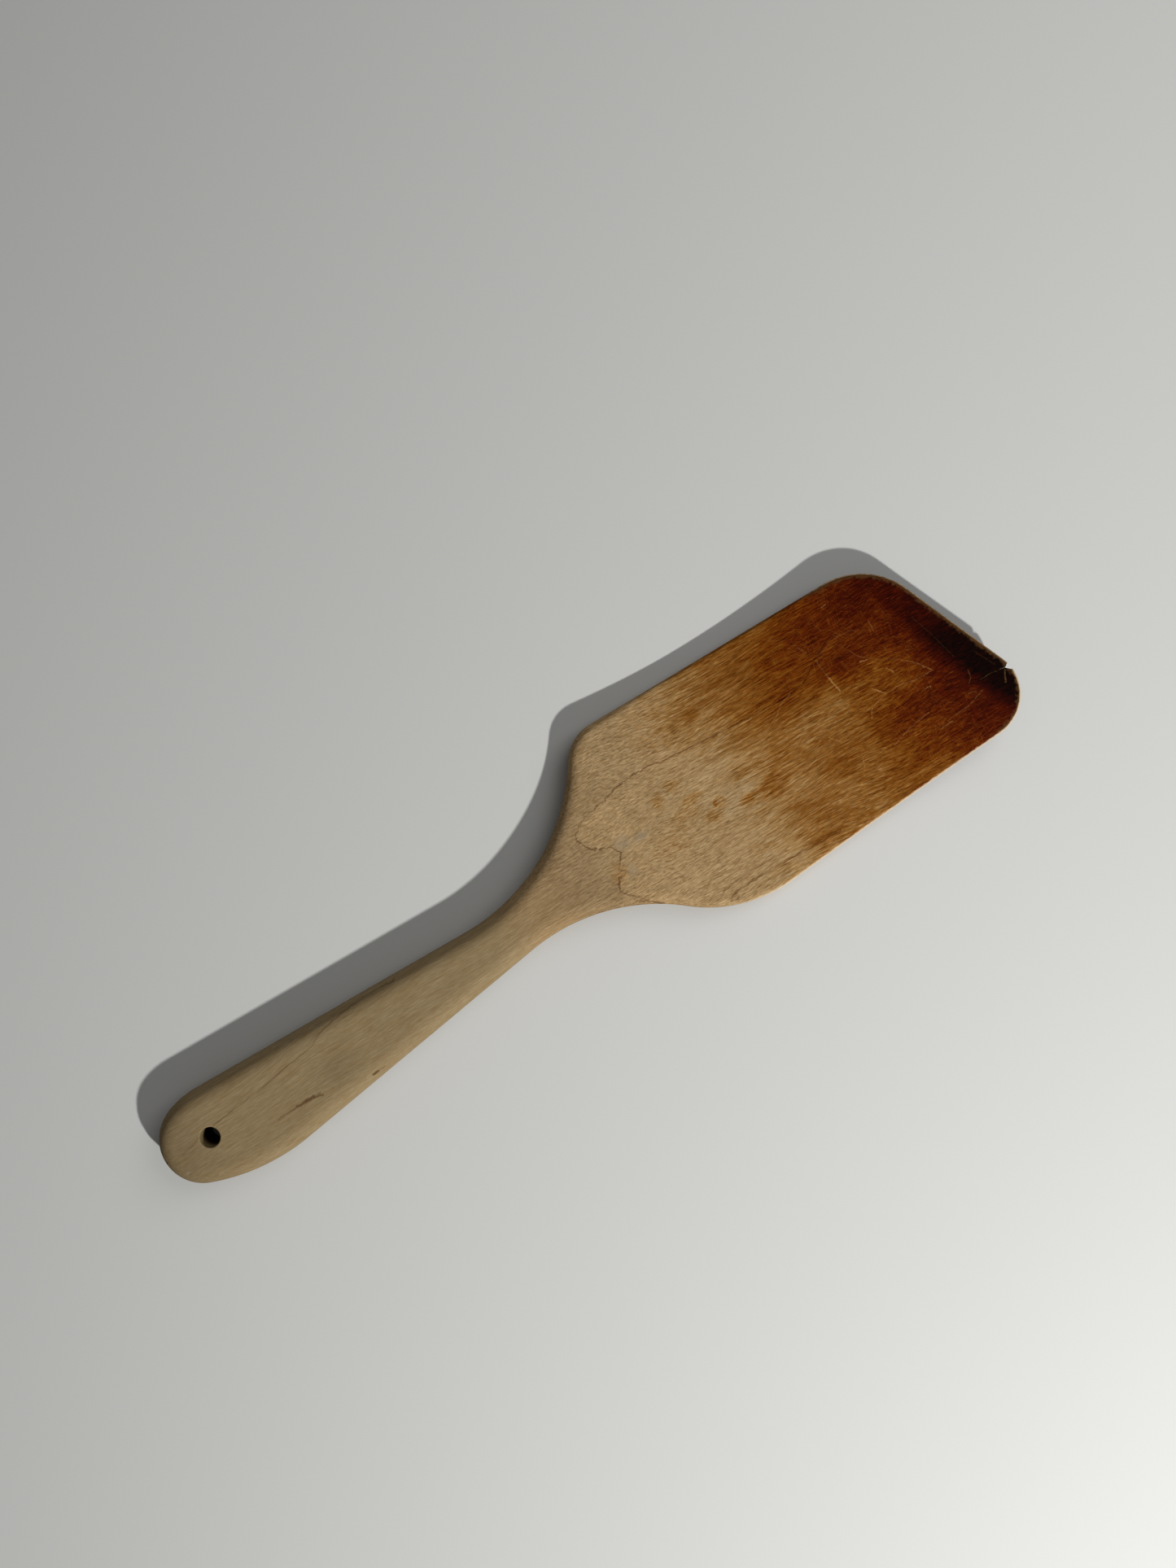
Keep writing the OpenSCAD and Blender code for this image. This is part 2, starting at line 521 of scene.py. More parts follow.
    def mark(self, mark: Mark) -> Wire:
        """Reads one of the mesh's own vertex attributes in a material."""
        made = self.node("ShaderNodeAttribute", attribute_type="GEOMETRY", attribute_name=mark.value)
        return Wire(self, made.outputs["Fac"])

    def named(self, mark: Mark) -> Wire:
        """Reads one of the mesh's own vertex attributes in a Geometry Nodes tree.

        Args:
            mark: Which attribute.

        Returns:
            Its value at each vertex.
        """
        made = self.node("GeometryNodeInputNamedAttribute", data_type="FLOAT")
        self.feed(made.inputs["Name"], mark.value)
        return Wire(self, made.outputs["Attribute"])


@dataclass(frozen=True)
class Circle:
    """A circle that the outline runs round.

    Attributes:
        x: Place of its centre along the board.
        y: Place of its centre across the board.
        r: Its radius, above 0 where the edge is hollow and below 0 where it is round.
    """

    x: float
    y: float
    r: float

    def run_to(self, other: "Circle") -> float:
        """Finds the straight run that leaves this circle and reaches another.

        Args:
            other: The circle that the run reaches.

        Returns:
            The heading of the run, in radians.
        """
        dx = other.x - self.x
        dy = other.y - self.y
        lean = (other.r - self.r) / math.hypot(dx, dy)
        return math.atan2(dy, dx) - math.asin(max(-1.0, min(1.0, lean)))

    def arc(self, start: float, end: float, spacing: float) -> tuple[np.ndarray, np.ndarray]:
        """Walks round the circle from one heading to another.

        Args:
            start: First heading, in radians.
            end: Last heading.
            spacing: Greatest distance between points.

        Returns:
            The points, and their outward normals.
        """
        steps = max(2, math.ceil(abs(self.r * (end - start)) / spacing))
        heading = np.linspace(start, end, steps + 1)
        normals = np.stack([-np.sin(heading), np.cos(heading)], 1)
        return np.array([self.x, self.y]) - self.r * normals, normals


@dataclass(frozen=True)
class TipSplit:
    """The chipped mouth at the leading corner, and the split that runs back from it along the grain."""

    angle: float = 8.5
    chip_w: float = 2.8
    chip_depth: float = 1.8
    length: float = 10.0
    width: float = 0.03
    drift: float = 1.4
    bend_share: float = 0.6
    bend_drift_share: float = 0.85
    lip_share: float = 1 / 3
    margin: float = 1.0
    spacing: float = 0.4
    ripple: float = 0.04
    ripple_pitch: float = 2.6

    def outline(self, corner: Circle) -> np.ndarray:
        """Draws the part that the split takes from the plan.

        Args:
            corner: The circle of the leading corner, in the plan's own axes.

        Returns:
            Corners of the split, from outside its right lip round to outside its left lip.
        """
        turn = math.radians(self.angle)
        mouth = np.array([corner.x, corner.y]) - corner.r * np.array([math.cos(turn), math.sin(turn)])
        bend_x = -self.bend_share * self.length
        bend_y = self.bend_drift_share * self.drift
        lip = self.lip_share * self.chip_depth
        corners = [
            (self.margin, -self.chip_w / 2 - lip),
            (-lip, -self.chip_w / 2),
            (-self.chip_depth, -self.width / 2),
            (bend_x, bend_y - self.width / 4),
            (-self.length, self.drift),
            (bend_x, bend_y + self.width / 4),
            (-self.chip_depth, self.width / 2),
            (self.margin, self.chip_w / 2),
        ]
        return mouth + np.array(corners)

    def torn(self, walls: np.ndarray) -> np.ndarray:
        """Gives the walls of the split fine steps and a slight ripple, as torn wood has.

        Args:
            walls: Corners of the walls, in order.

        Returns:
            Points along the walls.
        """
        points = [walls[:1]]
        for start, end in zip(walls, walls[1:]):
            steps = max(1, math.ceil(np.linalg.norm(end - start) / self.spacing))
            shares = np.arange(1, steps + 1)[:, None] / steps
            points.append(start + (end - start) * shares)
        path = np.concatenate(points)
        wave = np.sin(2 * np.pi * path[:, 0] / self.ripple_pitch)
        path[1:-1, 1] += self.ripple * wave[1:-1]
        return path


def inside_polygon(points: np.ndarray, polygon: np.ndarray) -> np.ndarray:
    """Tells which points lie inside a polygon.

    Args:
        points: The points, one a row.
        polygon: Corners of the polygon, one a row.

    Returns:
        True for each point inside.
    """
    inside = np.zeros(len(points), bool)
    for start, end in zip(polygon, np.roll(polygon, -1, 0)):
        spans = (start[1] > points[:, 1]) != (end[1] > points[:, 1])
        rise = end[1] - start[1] if end[1] != start[1] else 1.0
        crossing = start[0] + (points[:, 1] - start[1]) * (end[0] - start[0]) / rise
        inside ^= spans & (points[:, 0] < crossing)
    return inside


@dataclass
class PlanSheet:
    """The plan as a flat sheet of triangles.

    Attributes:
        points: Places of its vertices, in millimetres.
        triangles: Their indices, anticlockwise from above.
        loops: Indices along each border, with the sheet on the left.
        rim: Distance of each vertex from the outline, in millimetres.
        forward: How far the outline beside each vertex faces the tip, from 0 to 1.
    """

    points: np.ndarray
    triangles: np.ndarray
    loops: list[np.ndarray]
    rim: np.ndarray
    forward: np.ndarray


@dataclass(frozen=True)
class TurnerPlan:
    """Outline of the turner from above, in millimetres from the hanging hole, as the CAD part has it."""

    WHOLE_HULL: ClassVar[int] = 0
    MERGE_DISTANCE: ClassVar[float] = 1e-6
    HALVINGS: ClassVar[int] = 30

    overall_length: float = 305.0
    handle_w: float = 33.0
    nose_r: float = 14.0
    nose_offset: float = 0.5
    nose_play: float = 0.5
    left_swell_x: float = 0.0
    right_swell_x: float = 17.0
    hole_r: float = 3.175
    hole_inset: float = 17.6
    hole_offset: float = 1.4
    hole_rim: float = 0.4
    neck_w: float = 15.8
    left_neck_x: float = 104.5
    right_neck_x: float = 121.0
    left_flare_r: float = 65.0
    right_flare_r: float = 61.5
    blade_w: float = 76.7
    tip_w: float = 69.7
    blade_offset: float = 2.2
    tip_offset: float = 1.2
    left_shoulder_r: float = 14.0
    right_shoulder_r: float = 45.5
    left_tip_r: float = 23.0
    right_tip_r: float = 14.5
    tip_setback: float = 11.5
    split: TipSplit = TipSplit()
    rim_spacing: float = 0.7
    lattice_spacing: float = 0.9
    round_steps: int = 6
    hole_steps: int = 72
    hole_rings: tuple[float, ...] = (0.05, 0.14, 0.26, 0.4, 0.7, 1.2)
    keep_off: float = 0.3

    @property
    def tip_x(self) -> float:
        """Distance from the hole to the leading corner."""
        return self.overall_length - self.hole_inset

    def tip_corner(self, side: Side) -> Circle:
        """Finds the circle of one corner of the tip.

        Args:
            side: Which side's corner.

        Returns:
            The circle, with y measured outwards.
        """
        left = side is Side.LEFT
        half = self.tip_w / 2 + side.value * self.tip_offset
        radius = self.left_tip_r if left else self.right_tip_r
        setback = self.tip_setback if left else 0.0
        return Circle(self.tip_x - setback - radius, half - radius, -radius)

    def circles(self, side: Side) -> list[Circle]:
        """Lists the circles that one side runs round.

        Args:
            side: Which side.

        Returns:
            Circles from the nose to the other side's corner of the tip, with y measured outwards.
        """
        left = side is Side.LEFT
        half_handle = self.handle_w / 2 - side.value * self.hole_offset
        half_blade = self.blade_w / 2 + side.value * self.blade_offset
        nose_y = side.value * self.nose_offset
        nose_r = min(self.nose_r, self.handle_w / 2 - self.hole_offset - self.nose_offset - self.nose_play)
        nose_x = nose_r - self.hole_inset
        swell_x = self.left_swell_x if left else self.right_swell_x
        span = swell_x - nose_x
        bulge = half_handle - nose_y
        swell_r = (span ** 2 + bulge ** 2 - nose_r ** 2) / (2 * (bulge - nose_r))
        flare_r = self.left_flare_r if left else self.right_flare_r
        flare_x = self.left_neck_x if left else self.right_neck_x
        flare = Circle(flare_x, self.neck_w / 2 + flare_r, flare_r)
        shoulder_r = self.left_shoulder_r if left else self.right_shoulder_r
        shoulder_y = half_blade - shoulder_r
        shoulder_x = flare.x + math.sqrt((flare_r + shoulder_r) ** 2 - (flare.y - shoulder_y) ** 2)
        across = self.tip_corner(Side.RIGHT if left else Side.LEFT)
        return [
            Circle(nose_x, nose_y, -nose_r),
            Circle(swell_x, half_handle - swell_r, -swell_r),
            flare,
            Circle(shoulder_x, shoulder_y, -shoulder_r),
            self.tip_corner(side),
            Circle(across.x, -across.y, across.r),
        ]

    def side_path(self, side: Side) -> tuple[np.ndarray, np.ndarray]:
        """Walks along one side, from the end of the nose to the straight edge of the tip.

        Args:
            side: Which side.

        Returns:
            Points and outward normals, in the plan's own axes.
        """
        circles = self.circles(side)
        headings = [math.pi / 2]
        headings += [first.run_to(second) for first, second in zip(circles, circles[1:])]
        arcs = [
            circle.arc(start, end, self.rim_spacing)
            for circle, start, end in zip(circles, headings, headings[1:])
        ]
        points = np.concatenate([arc[0] for arc in arcs])
        normals = np.concatenate([arc[1] for arc in arcs])
        flip = np.array([1.0, side.value])
        return points * flip, normals * flip

    def rim(self) -> tuple[np.ndarray, np.ndarray]:
        """Walks once round the outline: right side, tip, left side, back to the nose.

        Returns:
            Points and outward normals, at an even spacing on the straight runs.
        """
        right, right_normals = self.side_path(Side.RIGHT)
        left, left_normals = self.side_path(Side.LEFT)
        corners = np.concatenate([right, left[::-1]])
        normals = np.concatenate([right_normals, left_normals[::-1]])
        points, directions = [], []
        following = zip(corners, normals, np.roll(corners, -1, 0), np.roll(normals, -1, 0))
        for start, normal, end, next_normal in following:
            gap = np.linalg.norm(end - start)
            steps = math.ceil(round(gap / self.rim_spacing, 3))
            for step in range(steps):
                share = step / steps
                points.append(start + (end - start) * share)
                directions.append(normal + (next_normal - normal) * share)
        return np.array(points), np.array(directions)

    def border(self, rim: np.ndarray) -> tuple[np.ndarray, np.ndarray, np.ndarray]:
        """Lets the split into the outline.

        Args:
            rim: Points of the whole outline.

        Returns:
            Points of the split outline, points of the split's own walls, and the outline of the split.
        """
        corner = self.tip_corner(Side.RIGHT)
        cut = self.split.outline(Circle(corner.x, -corner.y, corner.r))
        lost = np.flatnonzero(inside_polygon(rim, cut))
        first, last = lost[0], lost[-1]
        right_lip = self.crossing(rim[first - 1], rim[first], cut)
        left_lip = self.crossing(rim[last + 1], rim[last], cut)
        walls = self.split.torn(np.concatenate([[right_lip], cut[1:-1], [left_lip]]))
        return np.concatenate([rim[:first], walls, rim[last + 1:]]), walls, cut

    def crossing(self, outside: np.ndarray, inside: np.ndarray, polygon: np.ndarray) -> np.ndarray:
        """Finds where a short step into a polygon meets its edge.

        Args:
            outside: Start of the step, outside the polygon.
            inside: End of the step, inside it.
            polygon: Corners of the polygon, one a row.

        Returns:
            The place on the edge.
        """
        for _ in range(self.HALVINGS):
            middle = (outside + inside) / 2
            if inside_polygon(middle[None], polygon)[0]:
                inside = middle
            else:
                outside = middle
        return outside

    def lattice(self) -> np.ndarray:
        """Lays evenly spaced points, in staggered rows, over the whole plan.

        Returns:
            The points, one a row.
        """
        row = self.lattice_spacing * math.sqrt(3) / 2
        reach = self.blade_w
        xs = np.arange(-self.hole_inset, self.tip_x, self.lattice_spacing)
        ys = np.arange(-reach, reach, row)
        grid = np.stack(np.meshgrid(xs, ys), -1)
        grid[1::2, :, 0] += self.lattice_spacing / 2
        return grid.reshape(-1, 2)

    def circle(self, radius: float) -> np.ndarray:
        """Points round the hanging hole, clockwise, so that the wood is on their left."""
        turn = -2 * np.pi * np.arange(self.hole_steps) / self.hole_steps
        return radius * np.stack([np.cos(turn), np.sin(turn)], 1)

    def sheet(self, profile: "Profile") -> PlanSheet:
        """Covers the plan with triangles, fine where the edges are rounded.

        Args:
            profile: The board's roundings.

        Returns:
            The sheet.
        """
        rim, normals = self.rim()
        width = profile.ease_width(rim[:, 0], np.maximum(0, normals[:, 0]) ** 2)
        border, walls, cut = self.border(rim)
        bore = self.circle(self.hole_r)
        angles = np.linspace(0, np.pi / 2, self.round_steps)[:-1]
        rings = [rim - normals * (width * (1 - math.sin(angle)))[:, None] for angle in angles]
        bore_rings = [self.circle(self.hole_r + out) for out in self.hole_rings]

        nearby = Nearest(rim)
        lattice = self.lattice()
        found = nearby.indices(lattice)
        depth = -np.sum((lattice - rim[found]) * normals[found], 1)
        inner_lattice = lattice[depth > width[found] + self.lattice_spacing / 2]
        bore_reach = self.hole_r + self.hole_rings[-1] + self.keep_off
        clear_of_bore = np.linalg.norm(inner_lattice, axis=1) > bore_reach
        inner = np.concatenate([*rings, inner_lattice[clear_of_bore]])
        inner = inner[~inside_polygon(inner, cut)]
        inner = inner[Nearest(walls).distances(inner) > self.keep_off]

        given = np.concatenate([border, bore, inner, *bore_rings])
        ends = np.arange(len(border))
        bore_ends = len(border) + np.arange(len(bore))
        edges = [*zip(ends, np.roll(ends, -1)), *zip(bore_ends, np.roll(bore_ends, -1))]
        edges = [(int(start), int(end)) for start, end in edges]
        vectors = [Vector(place) for place in given]
        meshed = delaunay_2d_cdt(vectors, edges, [], self.WHOLE_HULL, self.MERGE_DISTANCE, True)
        corners, _, faces, origins, _, _ = meshed
        points = np.array([tuple(corner) for corner in corners])
        triangles = np.array(faces)
        middles = points[triangles].mean(1)
        triangles = triangles[inside_polygon(middles, border) & ~inside_polygon(middles, bore)]

        home = {source: here for here, sources in enumerate(origins) for source in sources}
        loops = [np.array([home[index] for index in loop]) for loop in (ends, bore_ends)]
        found = nearby.indices(points)
        depth = np.maximum(0, -np.sum((points - rim[found]) * normals[found], 1))
        return PlanSheet(points, triangles, loops, depth, np.maximum(0, normals[found, 0]) ** 2)


class Nearest:
    """Finds the nearest of a set of flat points."""

    def __init__(self, points: np.ndarray) -> None:
        """Sorts the points for searching.

        Args:
            points: The points, one a row.
        """
        self.tree = kdtree.KDTree(len(points))
        for index, (x, y) in enumerate(points):
            self.tree.insert((x, y, 0.0), index)
        self.tree.balance()

    def indices(self, places: np.ndarray) -> np.ndarray:
        """Index of the nearest point to each place."""
        return np.array([self.tree.find((x, y, 0.0))[1] for x, y in places])

    def distances(self, places: np.ndarray) -> np.ndarray:
        """Distance from each place to its nearest point."""
        return np.array([self.tree.find((x, y, 0.0))[2] for x, y in places])


@dataclass(frozen=True)
class Profile:
    """Side profile and roundings of the board, in millimetres, as the CAD part has them."""

    board_t: float = 12.7
    fall_start_x: float = 122.0
    belly_x: float = 204.0
    belly_h: float = 5.8
    rise_start_x: float = 193.0
    tip_lift: float = 10.5
    tip_t: float = 2.2
    handle_round: float = 5.2
    blade_ease: float = 1.2
    tip_ease: float = 2.0
    ease_share: float = 0.45

    def ease_width(self, x: np.ndarray, forward: np.ndarray) -> np.ndarray:
        """Width of the rounded edge along the outline.

        Args:
            x: Distance along the board.
            forward: How far the outline faces the tip, from 0 to 1.

        Returns:
            The width: full on the handle, slight on the blade, and a longer slope at the tip.
        """
        share = soft_step((x - self.fall_start_x) / (self.belly_x - self.fall_start_x))
        side = self.handle_round + (self.blade_ease - self.handle_round) * share
        return side + (self.tip_ease - side) * forward


@dataclass(frozen=True)
class Carving:
    """How the hand-finished surface strays from the true profile, in millimetres, always into the wood."""

    waviness: float = 0.12
    wave_length: float = 34.0
    seed: float = 7.0
    dents: tuple[Patch, ...] = (
        Patch((152.0, -14.6), (3.0, 1.3), 0.45),
        Patch((155.8, -17.8), (2.4, 1.1), 0.40),
        Patch((-11.9, -5.6), (0.9, 0.9), 0.10),
        Patch((285.0, -18.6), (1.6, 2.2), 0.25),
    )


@dataclass(frozen=True)
class WornMaple:
    """Oiled maple, pale at the handle and scorched at the tip. Sizes are millimetres on the upper face."""

    name: str = "worn_maple"
    # Colours by how brown the wood is, from 0 for bare wood to 1 for char.
    stops: tuple[Stop, ...] = (
        Stop(0.00, linear(171, 145, 107)),
        Stop(0.12, linear(157, 130, 92)),
        Stop(0.25, linear(152, 117, 71)),
        Stop(0.42, linear(130, 87, 37)),
        Stop(0.58, linear(111, 62, 10)),
        Stop(0.70, linear(88, 32, 2)),
        Stop(0.82, linear(63, 12, 1)),
        Stop(0.92, linear(36, 5, 2)),
        Stop(1.00, linear(11, 3, 2)),
    )
    # Browning by distance along the board.
    browning: tuple[Point, ...] = (
        (-20, 0.12), (95, 0.12), (150, 0.11), (180, 0.13), (200, 0.23), (214, 0.42),
        (230, 0.44), (245, 0.58), (256, 0.64), (264, 0.70), (272, 0.80), (290, 0.86),
    )
    # Char by distance behind the edge of the tip, and its share by place across the board.
    char_depth: tuple[Point, ...] = (
        (0, 1.0), (7, 1.0), (9, 0.94), (12, 0.85), (15, 0.77), (20, 0.66), (30, 0.35), (40, 0.0),
    )
    char_across: tuple[Point, ...] = (
        (-37, 0.90), (-28, 0.98), (-20, 1.0), (-4, 0.99), (5, 0.94), (12, 0.90), (20, 0.865), (37, 0.83),
    )
    # What darker and lighter places add to the browning, and what stains add on the upper face.
    scorches: tuple[Patch, ...] = (
        Patch((236, 25), (40, 24), 0.20),
        Patch((262, 29), (18, 14), 0.10),
        Patch((232, 21), (16, 9), 0.06),
        Patch((232, 31), (14, 8), 0.05),
        Patch((245, 18), (6, 5), -0.05),
        Patch((212, 27), (16, 10), -0.10),
        Patch((246, 11), (14, 9), 0.10),
        Patch((263, 12), (14, 9), 0.10),
        Patch((224, 12), (22, 9), 0.13),
        Patch((197, 27), (28, 19), 0.16),
        Patch((203, 7), (9, 9), 0.05),
        Patch((217, 1), (10, 6), 0.05),
        Patch((234, 1), (28, 6), -0.05),
        Patch((192, -4), (13, 8), -0.08),
        Patch((215, -13), (10, 7), -0.08),
        Patch((206.5, -8), (8, 4.5), 0.09),
        Patch((230, -13), (12, 8), 0.08),
        Patch((245, -12), (10, 7), 0.05),
        Patch((258, -13), (22, 10), 0.11),
        Patch((258, -25), (22, 8), 0.05),
        Patch((254, -32), (12, 5), -0.05),
        Patch((197, 25.5), (5, 3.5), 0.10),
        Patch((280, -10), (10, 11), 0.10),
        Patch((281.5, -22.5), (7, 7), 0.12),
    )
    stains: tuple[Patch, ...] = (
        Patch((189.4, -2.6), (3.0, 2.8), 0.15),
        Patch((185.8, -5.2), (4.8, 3.6), 0.19),
        Patch((207.7, -4.8), (4.2, 3.2), 0.10),
        Patch((203.8, -9.5), (6.0, 2.6), 0.08),
        Patch((197.2, -6.8), (4.4, 2.6), 0.32),
        Patch((202.5, -6.4), (4.6, 1.8), 0.18),
        Patch((199.5, -3.5), (5.0, 3.0), -0.07),
        Patch((201.0, 1.0), (6.0, 3.5), 0.09),
        Patch((173.2, 8.2), (3.2, 3.6), 0.20),
        Patch((179.7, 10.4), (4.0, 3.4), 0.14),
        Patch((182.5, 3.4), (5.6, 2.4), 0.21),
        Patch((178.0, 0.0), (9.0, 5.0), 0.09),
        Patch((170.0, -5.0), (10.0, 6.0), 0.08),
        Patch((150.5, -3.0), (5.0, 5.0), 0.10),
    )
    ring_stain: Patch = Patch((189.4, -2.6), (1.6, 1.6), 0.20)
    grip_patch: Patch = Patch((45.0, -4.5), (12.0, 7.0), 0.9)
    grey_patches_and_glint: tuple[Patch, ...] = (
        Patch((156.4, 4.0), (4.4, 3.8), 0.55),
        Patch((162.5, 2.6), (5.0, 2.2), 0.55),
        Patch((154.6, -4.6), (2.6, 3.4), 0.50),
        # Painted glint: a small pale dot on the handle, over its small dent.
        Patch((-11.9, -5.6), (0.8, 0.8), 1.0),
    )
    # Front of the aged wood behind the ring line: place across the board, and distance along it.
    ring_front: tuple[Point, ...] = (
        (-37, 170), (-18.3, 156.2), (-13.3, 151.9), (-8.3, 148.1), (-4.8, 150.0), (-1, 152.7), (1.7, 154.6),
        (5.8, 151.2), (9.8, 146.5), (12.5, 145.4), (15.9, 148.5), (17.6, 156), (20, 172), (22, 215),
        (41, 230),
    )
    ring_lines: tuple[Stroke, ...] = (
        Stroke(0.06, (
            (248, 21.3), (242.7, 19.7), (238.7, 17.7), (236, 15.7), (232, 13.7), (227, 13.1), (215, 13.8),
            (200, 15.5), (184, 17.8), (178, 19.2), (171.5, 19.8), (165.4, 19.5), (156, 17.6),
        ), 0.85),
        Stroke(0.06, (
            (156, 17.6), (151.5, 17.1), (148.5, 15.9), (146.2, 14.4), (145.4, 12.5), (146.5, 9.8),
            (148.5, 7.1), (151.2, 5.8), (153.5, 4.4), (154.6, 1.7), (152.7, -1), (151.2, -2.2),
            (153.1, -4.1), (149.6, -4.8), (148.3, -6.4), (148.1, -8.3), (149.2, -10.2), (151.9, -13.3),
            (156.2, -18.3),
        ), 0.8),
        Stroke(0.12, (
            (177.5, -30.8), (175, -30.2), (176.2, -29.2), (179.2, -28.8), (190.8, -29.2), (206, -30.6),
            (216, -31.4),
        ), 0.75),
        Stroke(0.05, (
            (3.0, 2.5), (18, 3.4), (31, 4.8), (41.8, 5.7), (44.5, 7.1), (47.3, 8.0), (51, 8.7), (58, 9.3),
            (65.5, 9.3), (74, 8.6),
        ), 0.5),
        Stroke(0.04, ((-10, 0.2), (-6.4, 0.8), (-2.7, 1.9)), 0.3),
        Stroke(0.25, ((-16.7, 0.6), (-16.1, 0.6)), 0.8),
        Stroke(0.25, ((150.4, -13.6), (152.2, -14.9)), 0.8),
        Stroke(0.25, ((154.8, -16.9), (157.0, -18.7)), 0.8),
        Stroke(0.15, ((174.6, -26.4), (181, -25.9), (189, -26.2), (198, -27.0)), 0.45),
        Stroke(0.15, ((43.2, 7.7), (46.2, 7.8)), 0.4),
        Stroke(0.15, ((150.2, -12.4), (152.6, -13.7), (155.2, -17.0)), 0.4),
    )
    mineral_streaks: tuple[Stroke, ...] = (
        Stroke(0.0, ((20.6, -7.3), (27.5, -7.3)), 0.5),
        Stroke(0.05, ((24.0, -7.3), (31.5, -7.4)), 0.6),
        Stroke(0.2, ((27.5, -7.3), (34.0, -7.6)), 0.75),
        Stroke(0.35, ((31.0, -7.4), (33.6, -7.6)), 0.85),
        Stroke(0.1, ((33.5, -7.7), (36.4, -8.6)), 0.7),
        Stroke(0.0, ((33.5, -7.4), (36.0, -7.7)), 0.5),
        Stroke(0.15, ((52.6, -12.3), (54.4, -12.2)), 0.9),
        Stroke(0.0, ((54.2, -12.2), (57.0, -12.0)), 0.5),
    )
    scratches: tuple[Stroke, ...] = (
        Stroke(0.20, ((239.6, 10.4), (240.1, 5.2)), 0.8),
        Stroke(0.10, ((239.3, 17.4), (239.2, 14.5), (239.6, 10.4)), 0.2),
        Stroke(0.10, ((248.9, 0.1), (251.2, -3.3)), 0.9),
        Stroke(0.06, ((250.3, 9.3), (252.4, 8.6)), 0.75),
        Stroke(0.05, ((251.0, 11.3), (252.2, 9.6)), 0.25),
        Stroke(0.08, ((258.6, 4.8), (263, 0.8), (265.2, -2.2)), 0.26),
        Stroke(0.10, ((265.2, -2.2), (267.3, -5.3)), 0.4),
        Stroke(0.06, ((267.3, -5.4), (260.5, -5.0)), 0.38),
        Stroke(0.10, (
            (202, 3.6), (208, 5.3), (213.3, 7.3), (219.3, 9.7), (222.7, 12.1), (226.7, 13.1),
        ), 0.34),
        Stroke(0.05, ((247.7, 17.7), (250.7, 11.3), (255.3, 6.7), (258.6, 4.8)), 0.13),
        Stroke(0.06, ((260.5, -5.0), (257.3, -3.7), (251.3, -3.5)), 0.4),
        Stroke(0.06, ((251.3, -3.5), (247, -4.4), (245, -5.3), (243.6, -7.5)), 0.55),
        Stroke(0.12, ((256.0, 3.2), (257.1, 0.9)), 0.45),
        Stroke(0.10, ((259.4, 18.7), (259.1, 15.2)), 0.28),
        Stroke(0.10, ((229.2, -5.1), (231.7, -8.4)), 0.6),
        Stroke(0.08, ((232.5, -7.7), (237, -7.9)), 0.4),
        Stroke(0.10, ((233.4, -19), (234.4, -16.2)), 0.55),
        Stroke(0.06, ((244.6, -18.6), (252, -16.5), (259, -15.8)), 0.3),
        Stroke(0.06, ((265.5, -21), (270, -20.9), (276, -19.2)), 0.22),
        Stroke(0.08, ((259.5, -22.2), (263.5, -22)), 0.35),
        Stroke(0.08, ((228, -30.4), (240, -29.8), (258, -30)), 0.25),
        Stroke(0.10, ((225, -28.8), (232.5, -26.8)), 0.25),
        Stroke(0.20, ((236.8, 24), (238.0, 21.2)), 0.12),
        Stroke(0.06, ((249.8, 30.1), (251.4, 30.3)), 0.5),
        Stroke(0.06, ((240.5, 18.4), (244.5, 19), (248, 20.1), (253, 19.2), (254.5, 18)), 0.15),
        Stroke(0.04, ((275.9, -11.5), (275.5, -13.8), (274, -15)), 0.15),
        Stroke(0.06, ((269, -9.2), (272, -9.2)), 0.15),
        Stroke(0.08, ((262, -8.9), (264, -9.3)), 0.42),
        Stroke(0.06, ((272.2, -17.5), (274.5, -18.3)), 0.2),
        Stroke(0.02, ((271.0, 12), (272.3, 6.5), (273.5, 1), (274.7, -5.5)), 0.055),
        Stroke(0.02, ((280.5, -7.5), (283.5, -14.5)), 0.05),
        Stroke(0.14, ((283.2, -20.9), (284.1, -19.3)), 0.22),
        Stroke(0.10, ((284.3, -18.9), (285.1, -17.6)), 0.2),
        Stroke(0.03, ((285.2, -16.9), (281.5, -16.2), (277.5, -15.9)), 0.12),
    )
    scuff_angles: tuple[float, ...] = (24.0, -38.0, 72.0, 110.0)
    line_tint: Colour = linear(166, 142, 124)
    mineral_tint: Colour = linear(168, 146, 128)
    # Greyish tone of the pale patches, also used for the painted glint on the handle.
    grey_and_glint: Colour = linear(140, 128, 108)
    scratch_colour: Colour = linear(160, 116, 64)
    scuff_colour: Colour = linear(144, 86, 28)
    # Pale line on the right edge of the blade, which faces the key lamp: part wear, part painted highlight.
    worn_side_and_highlight: Colour = linear(205, 186, 156)
    worn_tip: Colour = linear(86, 58, 30)
    # Pale line on the outermost edge of the tip: part wear, part painted highlight.
    worn_arris_and_highlight: Colour = linear(178, 150, 114)
    # Painted shade on the wall of the hanging hole, with deeper painted shade further down it.
    bore_shade_tint: Colour = linear(213, 213, 206)
    bore_depth_shade_tint: Colour = linear(80, 62, 50)
    fleck_tint: Colour = linear(210, 195, 174)
    aged_tint: Colour = linear(242, 242, 244)
    handle_tint: Colour = linear(238, 248, 255)
    grip_tint: Colour = linear(236, 236, 236)

